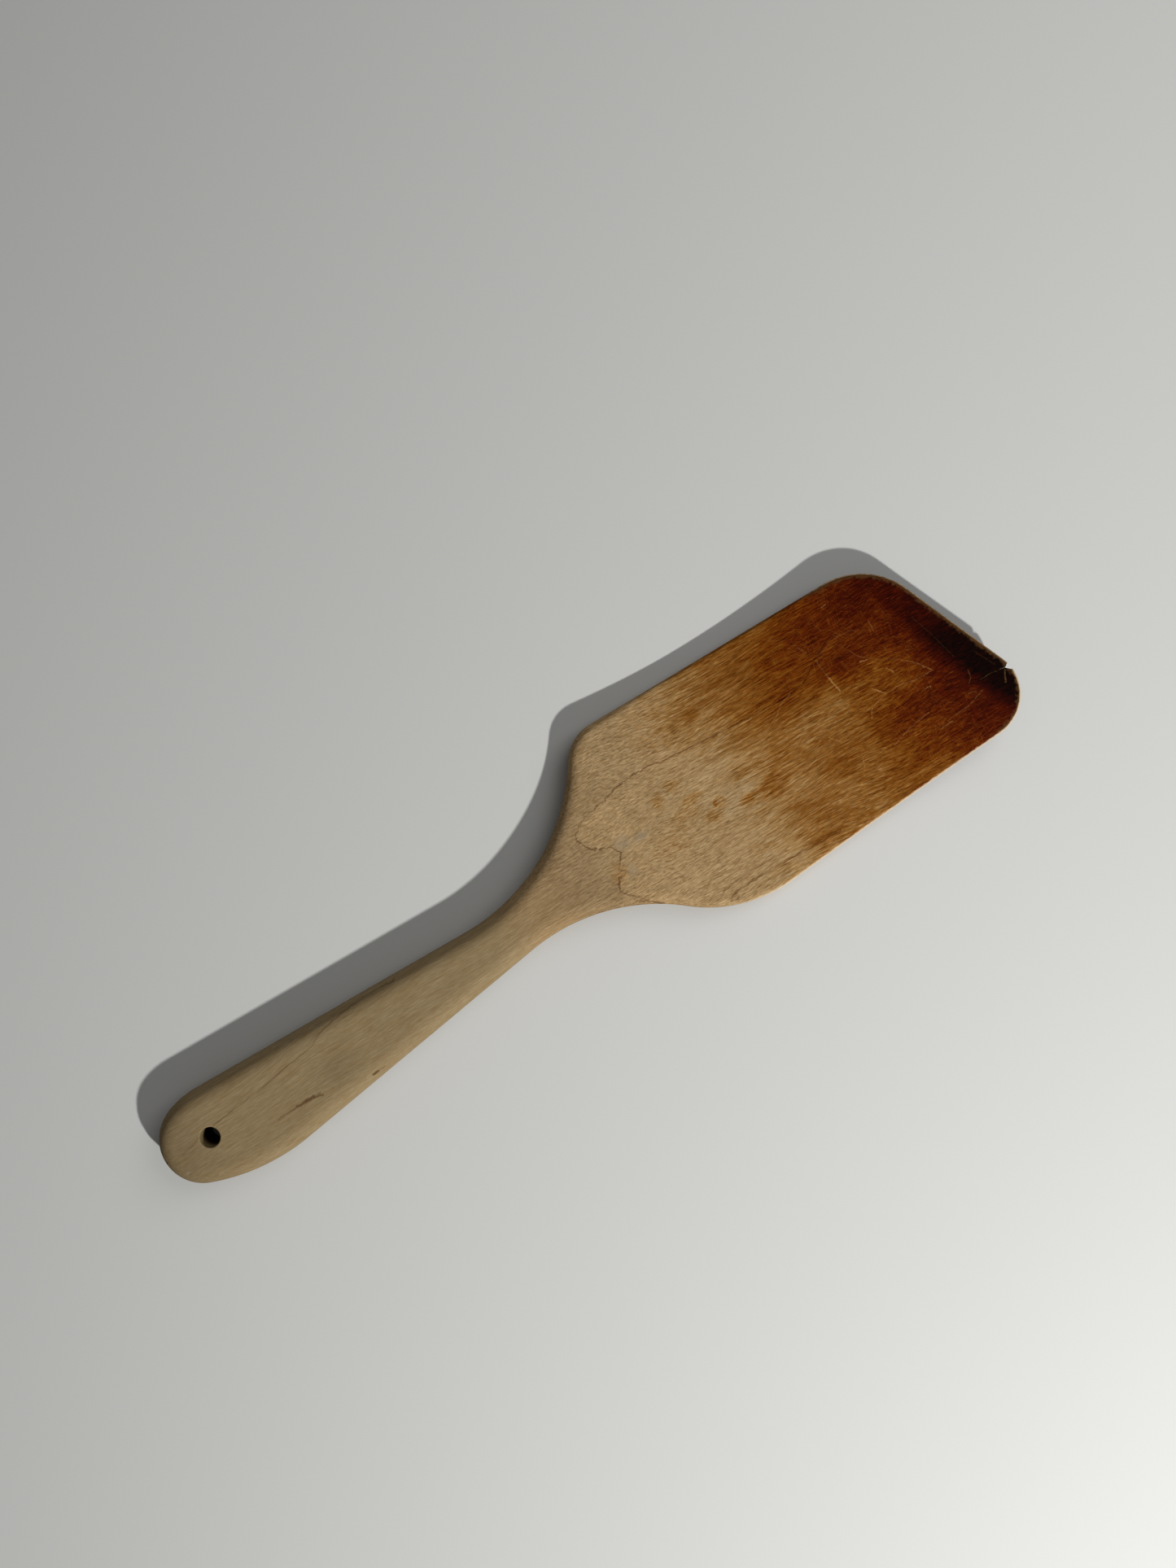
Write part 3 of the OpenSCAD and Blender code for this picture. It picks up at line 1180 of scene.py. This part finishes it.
    # Grain, pores and flecks.
    wander: Grain = Grain((60, 24, 24), 1.0)
    wander_width: float = 8.0
    lean_start: float = 120.0
    lean_slope: float = 0.09
    streak: Grain = Grain((9.0, 0.6, 0.6), 4.0, 0.75, 0.2)
    fibre: Grain = Grain((4.2, 0.42, 0.42), 3.0, 0.7)
    mottle: Grain = Grain((15, 8, 8))
    pore: Grain = Grain((1.8, 0.22, 0.22), 1.0)
    pore_along: Fade = Fade(195, 240, 1.3, 1.6)
    fleck: Grain = Grain((13.0, 0.36, 0.36), 1.0)
    fleck_cut: Fade = Fade(0.52, 0.72)
    fleck_along: Fade = Fade(120, 180, 0.25, 0.8)
    rough_along: Fade = Fade(100, 150, 0.28, 1.0)
    shade_along: Fade = Fade(195, 235, 1.0, 0.45)
    # Shares of streak, fibre and mottle in the browning and in the shade of the wood.
    heat_shares: tuple[float, ...] = (0.85, 0.55, 0.15)
    shade_shares: tuple[float, ...] = (0.75, 0.75, 0.3)
    # How strongly the grain stirs the browning, by how brown the wood is.
    stir_in: Fade = Fade(0.08, 0.25, 0.3, 1.0)
    stir_out: Fade = Fade(0.95, 0.45, 0.35, 1.0)
    # Where tints lie.
    upper_face: Fade = Fade(0.4, 0.9)
    ring_border: Fade = Fade(1.5, -1.5)
    aged_along: Fade = Fade(190, 140, 0.25, 1.0)
    handle_along: Fade = Fade(130, 100)
    nose_along: Fade = Fade(6, -12)
    neck_in: Fade = Fade(122, 136)
    neck_out: Fade = Fade(152, 142, 0.0, 0.8)
    # Where the painted shade in the hanging hole lies, and how it deepens downwards.
    bore_edge: float = 0.25
    bore_shade_down: Fade = Fade(11, 7)
    # Unsteady borders of stains and lines.
    wobble: Grain = Grain((2.4, 2.4, 1.0))
    wobble_reach: Point = (1.6, 1.3)
    teeth: Grain = Grain((0.9, 2.4, 1.0), 1.0)
    teeth_reach: float = 2.2
    teeth_in: Fade = Fade(135, 146)
    teeth_out: Fade = Fade(180, 168)
    ring_edge: Fade = Fade(0.9, 0.1)
    stain_fibre: Fade = Fade(0.3, 0.6, 0.6, 1.1)
    grey_fibre: Fade = Fade(0.35, 0.6, 0.5, 1.0)
    grey_most: float = 0.9
    # Lines, streaks, scratches and scuffs.
    line_gaps: Grain = Grain((9, 5, 1), 1.0)
    line_cut: Fade = Fade(0.3, 0.6, 0.5, 1.0)
    line_softness: float = 0.36
    mineral_softness: float = 0.5
    shake: Grain = Grain((1.3, 1.3, 1.0), 1.0)
    shake_reach: Point = (0.8, 0.7)
    scratch_gaps: Grain = Grain((0.8, 0.8, 1.0), 1.0)
    scratch_cut: Fade = Fade(0.35, 0.6, 0.3, 1.0)
    scratch_softness: float = 0.2
    scuff_in: Fade = Fade(0.25, 0.55, 0.0, 0.28)
    scuff_out: Fade = Fade(0.9, 0.7, 0.02, 1.0)
    scuff_sway: Grain = Grain((13, 13, 1), 1.0)
    scuff_bend: Point = (4.0, 3.0)
    scuff_layer: float = 20.0
    scuff_line: Grain = Grain((7.0, 0.26, 1.0), 0.0)
    scuff_cut: Fade = Fade(0.66, 0.78)
    # Worn arrises; the pale lines along the edge of the tip and the blade's right side are part wear, part
    # painted highlight.
    worn_patches: Grain = Grain((1.2, 1.2, 0.6), 3.0)
    tip_slant: float = 0.34
    tip_fray: float = 0.8
    tip_rag: float = 2.6
    tip_rim: Fade = Fade(1.9, 0.6)
    tip_along: Fade = Fade(258, 266)
    tip_share: float = 0.8
    arris_gaps: Fade = Fade(-0.12, 0.10, 0.35, 1.0)
    arris_along: Fade = Fade(254, 270)
    arris_rag: float = 0.3
    arris_rim: Fade = Fade(0.6, 0.25)
    side_across: Fade = Fade(-17, -22)
    side_along: Fade = Fade(168, 190)
    side_rag: float = 0.6
    side_rim: Fade = Fade(0.9, 0.2)
    side_share: float = 0.85
    # Relief and gloss.
    fibre_relief: float = 0.6
    fleck_relief: float = 0.4
    scratch_relief: float = 0.8
    bump_strength: float = 0.5
    bump_height: float = 0.12
    roughness: Fade = Fade(0.3, 0.7, 0.5, 0.68)
    specular: float = 0.02

    def material(self, plan: TurnerPlan) -> bpy.types.Material:
        """Builds the finish.

        Args:
            plan: The plan that the finish lies on.

        Returns:
            The material.
        """
        material = bpy.data.materials.new(self.name)
        material.use_nodes = True
        material.node_tree.nodes.clear()
        bench = NodeBench(material.node_tree)
        coordinates = bench.node("ShaderNodeTexCoord")
        place = bench.vector("DIVIDE", Wire(bench, coordinates.outputs["Object"]), (MM, MM, MM))
        x, y, z = bench.split(place)
        flat = bench.join(x, y, 0.0)
        upper = bench.fade(bench.mark(Mark.LAYER), self.upper_face)
        rim = bench.mark(Mark.RIM) / MM

        wander = bench.swing(place, self.wander)
        lean = bench.math("MAXIMUM", x - self.lean_start, 0.0) * self.lean_slope
        grain_place = bench.join(x, y + wander * self.wander_width + lean, z)
        streak = bench.swing(grain_place, self.streak)
        fibre = bench.noise(grain_place, self.fibre)
        pore = bench.swing(grain_place, self.pore)
        mottle = bench.swing(place, self.mottle)
        figure = (streak, fibre - NOISE_MEAN, mottle)

        drawn = self.unsteady(bench, flat)
        heat = self.heat(bench, flat, plan) + self.stain(bench, drawn, fibre) * upper
        stirred = bench.fade(heat, self.stir_in) * bench.fade(heat, self.stir_out)
        heat = heat + bench.weigh(figure, self.heat_shares) * stirred
        colour = bench.colours(bench.math("MAXIMUM", heat, 0.0, clamp=True), self.stops)
        behind_ring = bench.fade(x - bench.curve(y, self.ring_front), self.ring_border)
        colour = bench.tint(colour, self.aged_tint, behind_ring * bench.fade(x, self.aged_along))
        colour = bench.tint(colour, self.handle_tint, bench.fade(x, self.handle_along))
        neck = bench.fade(x, self.neck_in) * bench.fade(x, self.neck_out)
        grip = bench.fade(x, self.nose_along) + neck + bench.oval(drawn, self.grip_patch) * upper
        colour = bench.tint(colour, self.grip_tint, grip)

        off_handle = bench.fade(x, self.rough_along)
        shade = bench.weigh(figure, self.shade_shares) * bench.fade(x, self.shade_along)
        fine = pore * bench.fade(x, self.pore_along)
        colour = bench.tint(colour, 1.0 - (shade + fine) * off_handle, 1.0)
        fleck = bench.fade(bench.noise(grain_place, self.fleck), self.fleck_cut)
        colour = bench.tint(colour, self.fleck_tint, fleck * bench.fade(x, self.fleck_along))
        colour, scratch = self.marks(bench, flat, drawn, colour, upper, heat, fibre)
        colour = self.wear(bench, place, colour, rim, upper, fibre)
        # Painted shade in the hanging hole: the wall is greyed, and darker further down.
        from_axis = bench.vector("LENGTH", flat, output="Value")
        shaded_bore = bench.ramp(from_axis, plan.hole_r + self.bore_edge, plan.hole_r)
        colour = bench.tint(colour, self.bore_shade_tint, shaded_bore)
        colour = bench.tint(colour, self.bore_depth_shade_tint, shaded_bore * bench.fade(z, self.bore_shade_down))

        rough = (fibre * self.fibre_relief - fleck * self.fleck_relief) * off_handle
        bump = bench.node("ShaderNodeBump")
        bench.feed(bump.inputs["Strength"], self.bump_strength)
        bench.feed(bump.inputs["Distance"], self.bump_height * MM)
        bench.feed(bump.inputs["Height"], rough - scratch * self.scratch_relief)

        shader = bench.node("ShaderNodeBsdfPrincipled")
        bench.feed(shader.inputs["Base Color"], colour)
        bench.feed(shader.inputs["Roughness"], bench.fade(fibre, self.roughness))
        bench.feed(shader.inputs["Specular IOR Level"], self.specular)
        bench.feed(shader.inputs["Normal"], Wire(bench, bump.outputs["Normal"]))
        output = bench.node("ShaderNodeOutputMaterial")
        bench.feed(output.inputs["Surface"], Wire(bench, shader.outputs["BSDF"]))
        return material

    def unsteady(self, bench: NodeBench, flat: Wire) -> Wire:
        """Shifts places a little to and fro, so that lines and stains get uneven borders.

        Args:
            bench: Where the nodes are laid.
            flat: Place on the board, in millimetres, with no height.

        Returns:
            The shifted place, with the widest shifts near the neck.
        """
        x, y, _ = bench.split(flat)
        wobble = bench.swing(flat, self.wobble)
        near_neck = bench.fade(x, self.teeth_in) * bench.fade(x, self.teeth_out)
        teeth = bench.swing(flat, self.teeth) * near_neck
        reach_x, reach_y = self.wobble_reach
        return bench.join(x + wobble * reach_x, y + wobble * reach_y + teeth * self.teeth_reach, 0.0)

    def stain(self, bench: NodeBench, drawn: Wire, fibre: Wire) -> Wire:
        """Works out how much browner the stains make the wood.

        Args:
            bench: Where the nodes are laid.
            drawn: Place on the board, shifted unsteadily.
            fibre: Noise along the grain.

        Returns:
            What the stains add to the browning.
        """
        away = bench.vector("DISTANCE", drawn, (*self.ring_stain.middle, 0.0), output="Value")
        off_ring = bench.math("ABSOLUTE", away - self.ring_stain.reach[0])
        ring = bench.fade(off_ring, self.ring_edge) * self.ring_stain.amount
        return (bench.ovals(drawn, self.stains) + ring) * bench.fade(fibre, self.stain_fibre)

    def heat(self, bench: NodeBench, flat: Wire, plan: TurnerPlan) -> Wire:
        """Works out how far the wood is browned.

        Args:
            bench: Where the nodes are laid.
            flat: Place on the board, in millimetres, with no height.
            plan: The plan, for the line of the tip.

        Returns:
            0 for bare wood, 1 for char.
        """
        x, y, _ = bench.split(flat)
        browned = bench.curve(x, self.browning) + bench.ovals(flat, self.scorches)
        left, right = plan.tip_corner(Side.LEFT), plan.tip_corner(Side.RIGHT)
        heading = left.run_to(Circle(right.x, -right.y, right.r))
        facing = Vector((-math.sin(heading), math.cos(heading), 0.0))
        edge = facing.dot(Vector((left.x, left.y, 0.0))) - left.r
        behind = edge - bench.vector("DOT_PRODUCT", flat, facing, output="Value")
        charred = bench.curve(behind, self.char_depth) * bench.curve(y, self.char_across)
        return bench.math("MAXIMUM", browned, charred)

    def marks(
        self, bench: NodeBench, flat: Wire, drawn: Wire, colour: Wire, upper: Wire, heat: Wire, fibre: Wire
    ) -> tuple[Wire, Wire]:
        """Draws greyish patches, a painted glint, ring lines, mineral streaks, scratches and scuffs on the
        upper face.

        Args:
            bench: Where the nodes are laid.
            flat: Place on the board, in millimetres, with no height.
            drawn: The same place, shifted unsteadily.
            colour: Colour of the wood so far.
            upper: 1 on the upper face, 0 on the underside.
            heat: How far the wood is browned.
            fibre: Noise along the grain.

        Returns:
            The colour with its marks, and how deep it is scratched, from 0 to 1.
        """
        x, y, _ = bench.split(flat)
        # Greyish patches on the wood, and one painted glint on the handle.
        greyed_and_glint = bench.ovals(drawn, self.grey_patches_and_glint) * bench.fade(fibre, self.grey_fibre) * upper
        colour = bench.blend(colour, self.grey_and_glint, bench.math("MINIMUM", greyed_and_glint, self.grey_most))

        gaps = bench.fade(bench.noise(flat, self.line_gaps), self.line_cut)
        lines = bench.strokes(drawn, self.ring_lines, self.line_softness) * gaps * upper
        colour = bench.tint(colour, self.line_tint, lines)

        shake = bench.swing(flat, self.shake)
        reach_x, reach_y = self.shake_reach
        scored = bench.join(x + shake * reach_x, y + shake * reach_y, 0.0)
        mineral = bench.strokes(scored, self.mineral_streaks, self.mineral_softness) * upper
        colour = bench.tint(colour, self.mineral_tint, mineral)
        broken = bench.fade(bench.noise(flat, self.scratch_gaps), self.scratch_cut)
        scratch = bench.strokes(scored, self.scratches, self.scratch_softness) * broken * upper
        colour = bench.blend(colour, self.scratch_colour, scratch)
        shown = bench.fade(heat, self.scuff_in) * bench.fade(heat, self.scuff_out)
        scuffs = self.scuffs(bench, flat) * shown * upper
        return bench.blend(colour, self.scuff_colour, scuffs), bench.math("MAXIMUM", scratch, scuffs)

    def scuffs(self, bench: NodeBench, flat: Wire) -> Wire:
        """Scatters fine crossing scratches, left by pans and brushes.

        Args:
            bench: Where the nodes are laid.
            flat: Place on the board, in millimetres, with no height.

        Returns:
            0 beside the scratches, up to 1 on them.
        """
        x, y, _ = bench.split(flat)
        sway = bench.swing(flat, self.scuff_sway)
        bend_x, bend_y = self.scuff_bend
        bent_x = x + sway * bend_x
        bent_y = y + sway * bend_y
        total = None
        for number, angle in enumerate(self.scuff_angles):
            turn = math.radians(angle)
            along = bent_x * math.cos(turn) + bent_y * math.sin(turn)
            across = bent_y * math.cos(turn) - bent_x * math.sin(turn)
            place = bench.join(along, across, self.scuff_layer * number)
            scuff = bench.fade(bench.noise(place, self.scuff_line), self.scuff_cut)
            total = scuff if total is None else bench.math("MAXIMUM", total, scuff)
        return total

    def wear(
        self, bench: NodeBench, place: Wire, colour: Wire, rim: Wire, upper: Wire, fibre: Wire
    ) -> Wire:
        """Rubs the arrises pale along the right side of the blade and along the tip: part wear, part
        painted highlight.

        Args:
            bench: Where the nodes are laid.
            place: Place on the board, in millimetres.
            colour: Colour of the wood so far.
            rim: Distance from the outline, in millimetres.
            upper: 1 on the upper face, 0 on the underside.
            fibre: Noise along the grain.

        Returns:
            The colour with its worn arrises and their painted highlights.
        """
        x, y, _ = bench.split(place)
        patchy = bench.swing(place, self.worn_patches)
        slanted = x + y * self.tip_slant
        ragged = rim + (fibre - NOISE_MEAN) * self.tip_fray + patchy * self.tip_rag
        tip = bench.fade(ragged, self.tip_rim) * bench.fade(slanted, self.tip_along) * self.tip_share
        colour = bench.blend(colour, self.worn_tip, tip)
        # Thin pale line along the outermost edge of the tip: part wear, part painted highlight.
        speckled = bench.fade(patchy, self.arris_gaps) * bench.fade(slanted, self.arris_along) * upper
        worn_and_lit_arris = bench.fade(rim + patchy * self.arris_rag, self.arris_rim) * speckled
        colour = bench.blend(colour, self.worn_arris_and_highlight, worn_and_lit_arris)
        # Pale line on the lit right edge of the blade: part wear, part painted highlight.
        right = bench.fade(y, self.side_across) * bench.fade(x, self.side_along) * upper
        side = bench.fade(rim + patchy * self.side_rag, self.side_rim) * right * self.side_share
        return bench.blend(colour, self.worn_side_and_highlight, side)


@dataclass
class CarvedTurner:
    """The whole turner: one carved board, dressed in worn maple."""

    plan: TurnerPlan = TurnerPlan()
    profile: Profile = Profile()
    carving: Carving = Carving()
    finish: WornMaple = WornMaple()
    name: str = "carved_turner"
    wall_rows: int = 3
    sharp_angle: float = 50.0

    def build(self) -> bpy.types.Object:
        """Makes the turner and ties it to the frame.

        Returns:
            The finished piece.
        """
        piece = bpy.data.objects.new(self.name, self.flat_mesh())
        bpy.context.scene.collection.objects.link(piece)
        self.carve(piece, self.finish.material(self.plan))
        self.settle(piece.data)
        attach(piece, BODY)
        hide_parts(NODE)
        return piece

    def flat_mesh(self) -> bpy.types.Mesh:
        """Makes two flat faces in the shape of the plan, with walls between them.

        Returns:
            A closed mesh, with the marks that the carving and the finish read.
        """
        sheet = self.plan.sheet(self.profile)
        count = len(sheet.points)
        sources = [np.arange(count), np.arange(count)]
        layers = [np.full(count, Layer.UPPER.value), np.full(count, Layer.UNDER.value)]
        faces = [*sheet.triangles.tolist(), *(sheet.triangles[:, ::-1] + count).tolist()]
        total = 2 * count
        for loop in sheet.loops:
            rows = [loop]
            for row in range(1, self.wall_rows):
                sources.append(loop)
                layers.append(np.full(len(loop), 1 - row / self.wall_rows))
                rows.append(total + np.arange(len(loop)))
                total += len(loop)
            rows.append(loop + count)
            for above, below in zip(rows, rows[1:]):
                after = np.roll(above, -1), np.roll(below, -1)
                faces += np.stack([below, after[1], after[0], above], 1).tolist()

        source = np.concatenate(sources)
        layer = np.concatenate(layers)
        plan_places = sheet.points[source]
        places = np.column_stack([plan_places, layer * self.profile.board_t]) * MM
        mesh = bpy.data.meshes.new(self.name)
        mesh.from_pydata(places.tolist(), [], faces)
        self.mark(mesh, Mark.RIM, sheet.rim[source] * MM)
        self.mark(mesh, Mark.FORWARD, sheet.forward[source])
        self.mark(mesh, Mark.LAYER, layer)
        self.mark(mesh, Mark.DENT, self.dent_depth(plan_places) * (layer == Layer.UPPER.value) * MM)
        return mesh

    @staticmethod
    def mark(mesh: bpy.types.Mesh, mark: Mark, values: np.ndarray) -> None:
        """Writes one number for each vertex of a mesh."""
        layer = mesh.attributes.new(mark.value, "FLOAT", "POINT")
        layer.data.foreach_set("value", values.astype(np.float32))

    def dent_depth(self, places: np.ndarray) -> np.ndarray:
        """Works out how deep the dents are.

        Args:
            places: Places on the upper face, in millimetres, one a row.

        Returns:
            The depth at each place, in millimetres.
        """
        depth = np.zeros(len(places))
        for dent in self.carving.dents:
            far = np.linalg.norm((places - dent.middle) / dent.reach, axis=1)
            depth = np.maximum(depth, dent.amount * soft_step(1 - far))
        return depth

    def carve_sizes(self) -> dict[str, float]:
        """Lists the sizes that the carving tree takes.

        Returns:
            Names of the tree's inputs and their values, with lengths in metres.
        """
        profile, plan, carving = self.profile, self.plan, self.carving
        lengths = {
            "Board thickness": profile.board_t,
            "Fall start": profile.fall_start_x,
            "Belly place": profile.belly_x,
            "Belly height": profile.belly_h,
            "Rise start": profile.rise_start_x,
            "Tip place": plan.tip_x,
            "Tip lift": profile.tip_lift,
            "Tip thickness": profile.tip_t,
            "Handle rounding": profile.handle_round,
            "Blade easing": profile.blade_ease,
            "Tip slope": profile.tip_ease,
            "Hole radius": plan.hole_r,
            "Hole rim": plan.hole_rim,
            "Waviness": carving.waviness,
            "Wave length": carving.wave_length,
        }
        sizes = {name: length * MM for name, length in lengths.items()}
        return {**sizes, "Easing share": profile.ease_share, "Seed": carving.seed}

    def carve_tree(self) -> bpy.types.NodeTree:
        """Builds the Geometry Nodes tree that gives the flat sheet its heights.

        Returns:
            The tree, with a named input for each size.
        """
        tree = bpy.data.node_groups.new("carve_turner", "GeometryNodeTree")
        tree.interface.new_socket("Geometry", in_out="OUTPUT", socket_type="NodeSocketGeometry")
        tree.interface.new_socket("Geometry", in_out="INPUT", socket_type="NodeSocketGeometry")
        for name in self.carve_sizes():
            tree.interface.new_socket(name, in_out="INPUT", socket_type="NodeSocketFloat")
        tree.interface.new_socket("Finish", in_out="INPUT", socket_type="NodeSocketMaterial")
        bench = NodeBench(tree)
        source = bench.node("NodeGroupInput")
        size = {socket.name: Wire(bench, socket) for socket in source.outputs if socket.name}
        position = Wire(bench, bench.node("GeometryNodeInputPosition").outputs["Position"])
        x, y, _ = bench.split(position)
        layer = bench.named(Mark.LAYER)

        fall_length = size["Belly place"] - size["Fall start"]
        fallen = bench.math("DIVIDE", x - size["Fall start"], fall_length, clamp=True)
        fall = 0.5 - bench.math("COSINE", fallen * math.pi) * 0.5
        to_belly = bench.mix(size["Board thickness"], size["Belly height"], fall)
        tip_top = size["Tip lift"] + size["Tip thickness"]
        past_belly = self.rise(bench, x, size["Belly place"], size["Tip place"])
        to_tip = bench.mix(size["Belly height"], tip_top, past_belly)
        top = bench.mix(to_belly, to_tip, bench.math("GREATER_THAN", x, size["Belly place"]))
        under = size["Tip lift"] * self.rise(bench, x, size["Rise start"], size["Tip place"])

        side_round = bench.mix(size["Handle rounding"], size["Blade easing"], fall)
        round_width = bench.mix(side_round, size["Tip slope"], bench.named(Mark.FORWARD))
        round_height = bench.math("MINIMUM", side_round, (top - under) * size["Easing share"])
        drop = self.quarter_round(bench, bench.named(Mark.RIM), round_width) * round_height
        flat = bench.join(x, y, 0.0)
        from_bore = bench.vector("LENGTH", flat, output="Value") - size["Hole radius"]
        hole_edge = self.quarter_round(bench, from_bore, size["Hole rim"]) * size["Hole rim"]

        wave = bench.node("ShaderNodeTexNoise", noise_dimensions="4D")
        bench.feed(wave.inputs["Vector"], bench.vector("DIVIDE", flat, size["Wave length"]))
        bench.feed(wave.inputs["W"], size["Seed"] + layer)
        bench.feed(wave.inputs["Scale"], 1.0)
        bench.feed(wave.inputs["Detail"], 1.0)
        stray = Wire(bench, wave.outputs["Fac"]) * size["Waviness"]

        lowered = drop + hole_edge + stray
        upper_height = top - lowered - bench.named(Mark.DENT)
        height = bench.mix(under + lowered, upper_height, layer)
        moved = bench.node("GeometryNodeSetPosition")
        bench.feed(moved.inputs["Geometry"], size["Geometry"])
        bench.feed(moved.inputs["Position"], bench.join(x, y, height))
        realized = bench.node("GeometryNodeRealizeInstances")
        bench.feed(realized.inputs["Geometry"], Wire(bench, moved.outputs["Geometry"]))
        dressed = bench.node("GeometryNodeSetMaterial")
        bench.feed(dressed.inputs["Geometry"], Wire(bench, realized.outputs["Geometry"]))
        bench.feed(dressed.inputs["Material"], size["Finish"])
        sink = bench.node("NodeGroupOutput")
        bench.feed(sink.inputs["Geometry"], Wire(bench, dressed.outputs["Geometry"]))
        return tree

    @staticmethod
    def rise(bench: NodeBench, x: Wire, start: Wire, end: Wire) -> Wire:
        """Rises from 0 at start to 1 at end, ever steeper."""
        share = bench.math("MAXIMUM", x - start, 0.0) / (end - start)
        return share * share

    @staticmethod
    def quarter_round(bench: NodeBench, inset: Wire, width: Wire) -> Wire:
        """Falls along a quarter of a circle, from 0 at a full width from the edge to 1 at the edge."""
        share = bench.math("SUBTRACT", 1.0, inset / width, clamp=True)
        return 1.0 - bench.math("SQRT", 1.0 - share * share)

    def carve(self, piece: bpy.types.Object, finish: bpy.types.Material) -> None:
        """Runs the carving tree on the flat mesh and keeps its result as a plain mesh.

        Args:
            piece: The object that holds the flat mesh.
            finish: The material for the carved board.
        """
        tree = self.carve_tree()
        modifier = piece.modifiers.new("carve", "NODES")
        modifier.node_group = tree
        inputs = [item for item in tree.interface.items_tree if item.in_out == "INPUT"]
        sockets = {item.name: item.identifier for item in inputs}
        for name, value in self.carve_sizes().items():
            modifier[sockets[name]] = value
        modifier[sockets["Finish"]] = finish
        graph = bpy.context.evaluated_depsgraph_get()
        carved = bpy.data.meshes.new_from_object(
            piece.evaluated_get(graph), preserve_all_data_layers=True, depsgraph=graph
        )
        flat = piece.data
        piece.modifiers.remove(modifier)
        piece.data = carved
        bpy.data.meshes.remove(flat)
        carved.name = self.name

    def settle(self, mesh: bpy.types.Mesh) -> None:
        """Keeps the carved mesh inside the CAD box, and smooths its shading.

        Args:
            mesh: The carved mesh.
        """
        low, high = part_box(NODE)
        places = np.empty(3 * len(mesh.vertices), np.float32)
        mesh.vertices.foreach_get("co", places)
        held = np.clip(places.reshape(-1, 3), low, high)
        mesh.vertices.foreach_set("co", held.ravel())
        mesh.shade_smooth()
        mesh.set_sharp_from_angle(angle=math.radians(self.sharp_angle))
        mesh.update()


@dataclass(frozen=True)
class Lamp:
    """A square lamp: its power in watts, its side and place in metres, and the point that it faces."""

    name: str
    power: float
    size: float
    place: tuple[float, float, float]
    aim: tuple[float, float, float] = (0.17, 0.0, 0.0)

    def hang(self) -> None:
        """Adds the lamp to the scene."""
        data = bpy.data.lights.new(self.name, "AREA")
        data.energy = self.power
        data.size = self.size
        lamp = bpy.data.objects.new(self.name, data)
        lamp.location = self.place
        lamp.rotation_euler = (Vector(self.aim) - Vector(self.place)).to_track_quat("-Z", "Y").to_euler()
        bpy.context.scene.collection.objects.link(lamp)


@dataclass
class Studio:
    """Pale floor, soft light and the camera, placed as in the photograph."""

    floor_colour: Colour = linear(200, 200, 197)
    floor_roughness: float = 0.9
    floor_specular: float = 0.1
    floor_size: float = 6.0
    sky_colour: Colour = linear(255, 255, 255)
    sky_strength: float = 0.12
    lamps: tuple[Lamp, ...] = (
        Lamp("key", 8.2, 0.03, (0.235, -0.700, 0.575)),
        Lamp("fill", 1.45, 0.5, (0.640, 0.100, 0.500)),
    )
    eye: tuple[float, float, float] = (0.15819, 0.02525, 0.377)
    turn: float = -34.0
    focal_pixels: float = 1447.0
    sensor: float = 36.0

    def build(self) -> None:
        """Makes the floor, the light and the camera."""
        bpy.context.scene.view_settings.view_transform = "Standard"
        self.lay_floor()
        self.light()
        self.place_camera()

    def lay_floor(self) -> None:
        """Lays a plain sheet of pale paper under the turner."""
        half = self.floor_size / 2
        corners = [(-half, -half, 0.0), (half, -half, 0.0), (half, half, 0.0), (-half, half, 0.0)]
        mesh = bpy.data.meshes.new("floor")
        mesh.from_pydata(corners, [], [(0, 1, 2, 3)])
        paper = bpy.data.materials.new("pale_paper")
        paper.use_nodes = True
        shader = paper.node_tree.nodes["Principled BSDF"]
        shader.inputs["Base Color"].default_value = self.floor_colour
        shader.inputs["Roughness"].default_value = self.floor_roughness
        shader.inputs["Specular IOR Level"].default_value = self.floor_specular
        mesh.materials.append(paper)
        floor = bpy.data.objects.new("floor", mesh)
        bpy.context.scene.collection.objects.link(floor)

    def light(self) -> None:
        """Sets an even sky, a small lamp to the right of the turner, and a large one past its tip."""
        sky = bpy.data.worlds.new("sky")
        sky.use_nodes = True
        glow = sky.node_tree.nodes["Background"]
        glow.inputs["Color"].default_value = self.sky_colour
        glow.inputs["Strength"].default_value = self.sky_strength
        bpy.context.scene.world = sky
        for lamp in self.lamps:
            lamp.hang()

    def place_camera(self) -> None:
        """Looks straight down, turned so that the handle points to the lower left."""
        data = bpy.data.cameras.new("camera")
        data.sensor_fit = "VERTICAL"
        data.sensor_height = self.sensor
        data.lens = self.focal_pixels / PHOTO_H * self.sensor
        camera = bpy.data.objects.new("camera", data)
        camera.location = self.eye
        camera.rotation_euler = (0.0, 0.0, math.radians(self.turn))
        bpy.context.scene.collection.objects.link(camera)
        bpy.context.scene.camera = camera


def main() -> None:
    """Builds the studio and the turner, and logs how fine its mesh is."""
    logging.basicConfig(level=logging.INFO, format="%(name)s: %(message)s")
    Studio().build()
    piece = CarvedTurner().build()
    LOG.info("%s: %d vertices, %d faces", piece.name, len(piece.data.vertices), len(piece.data.polygons))


if __name__ == "__main__":
    main()
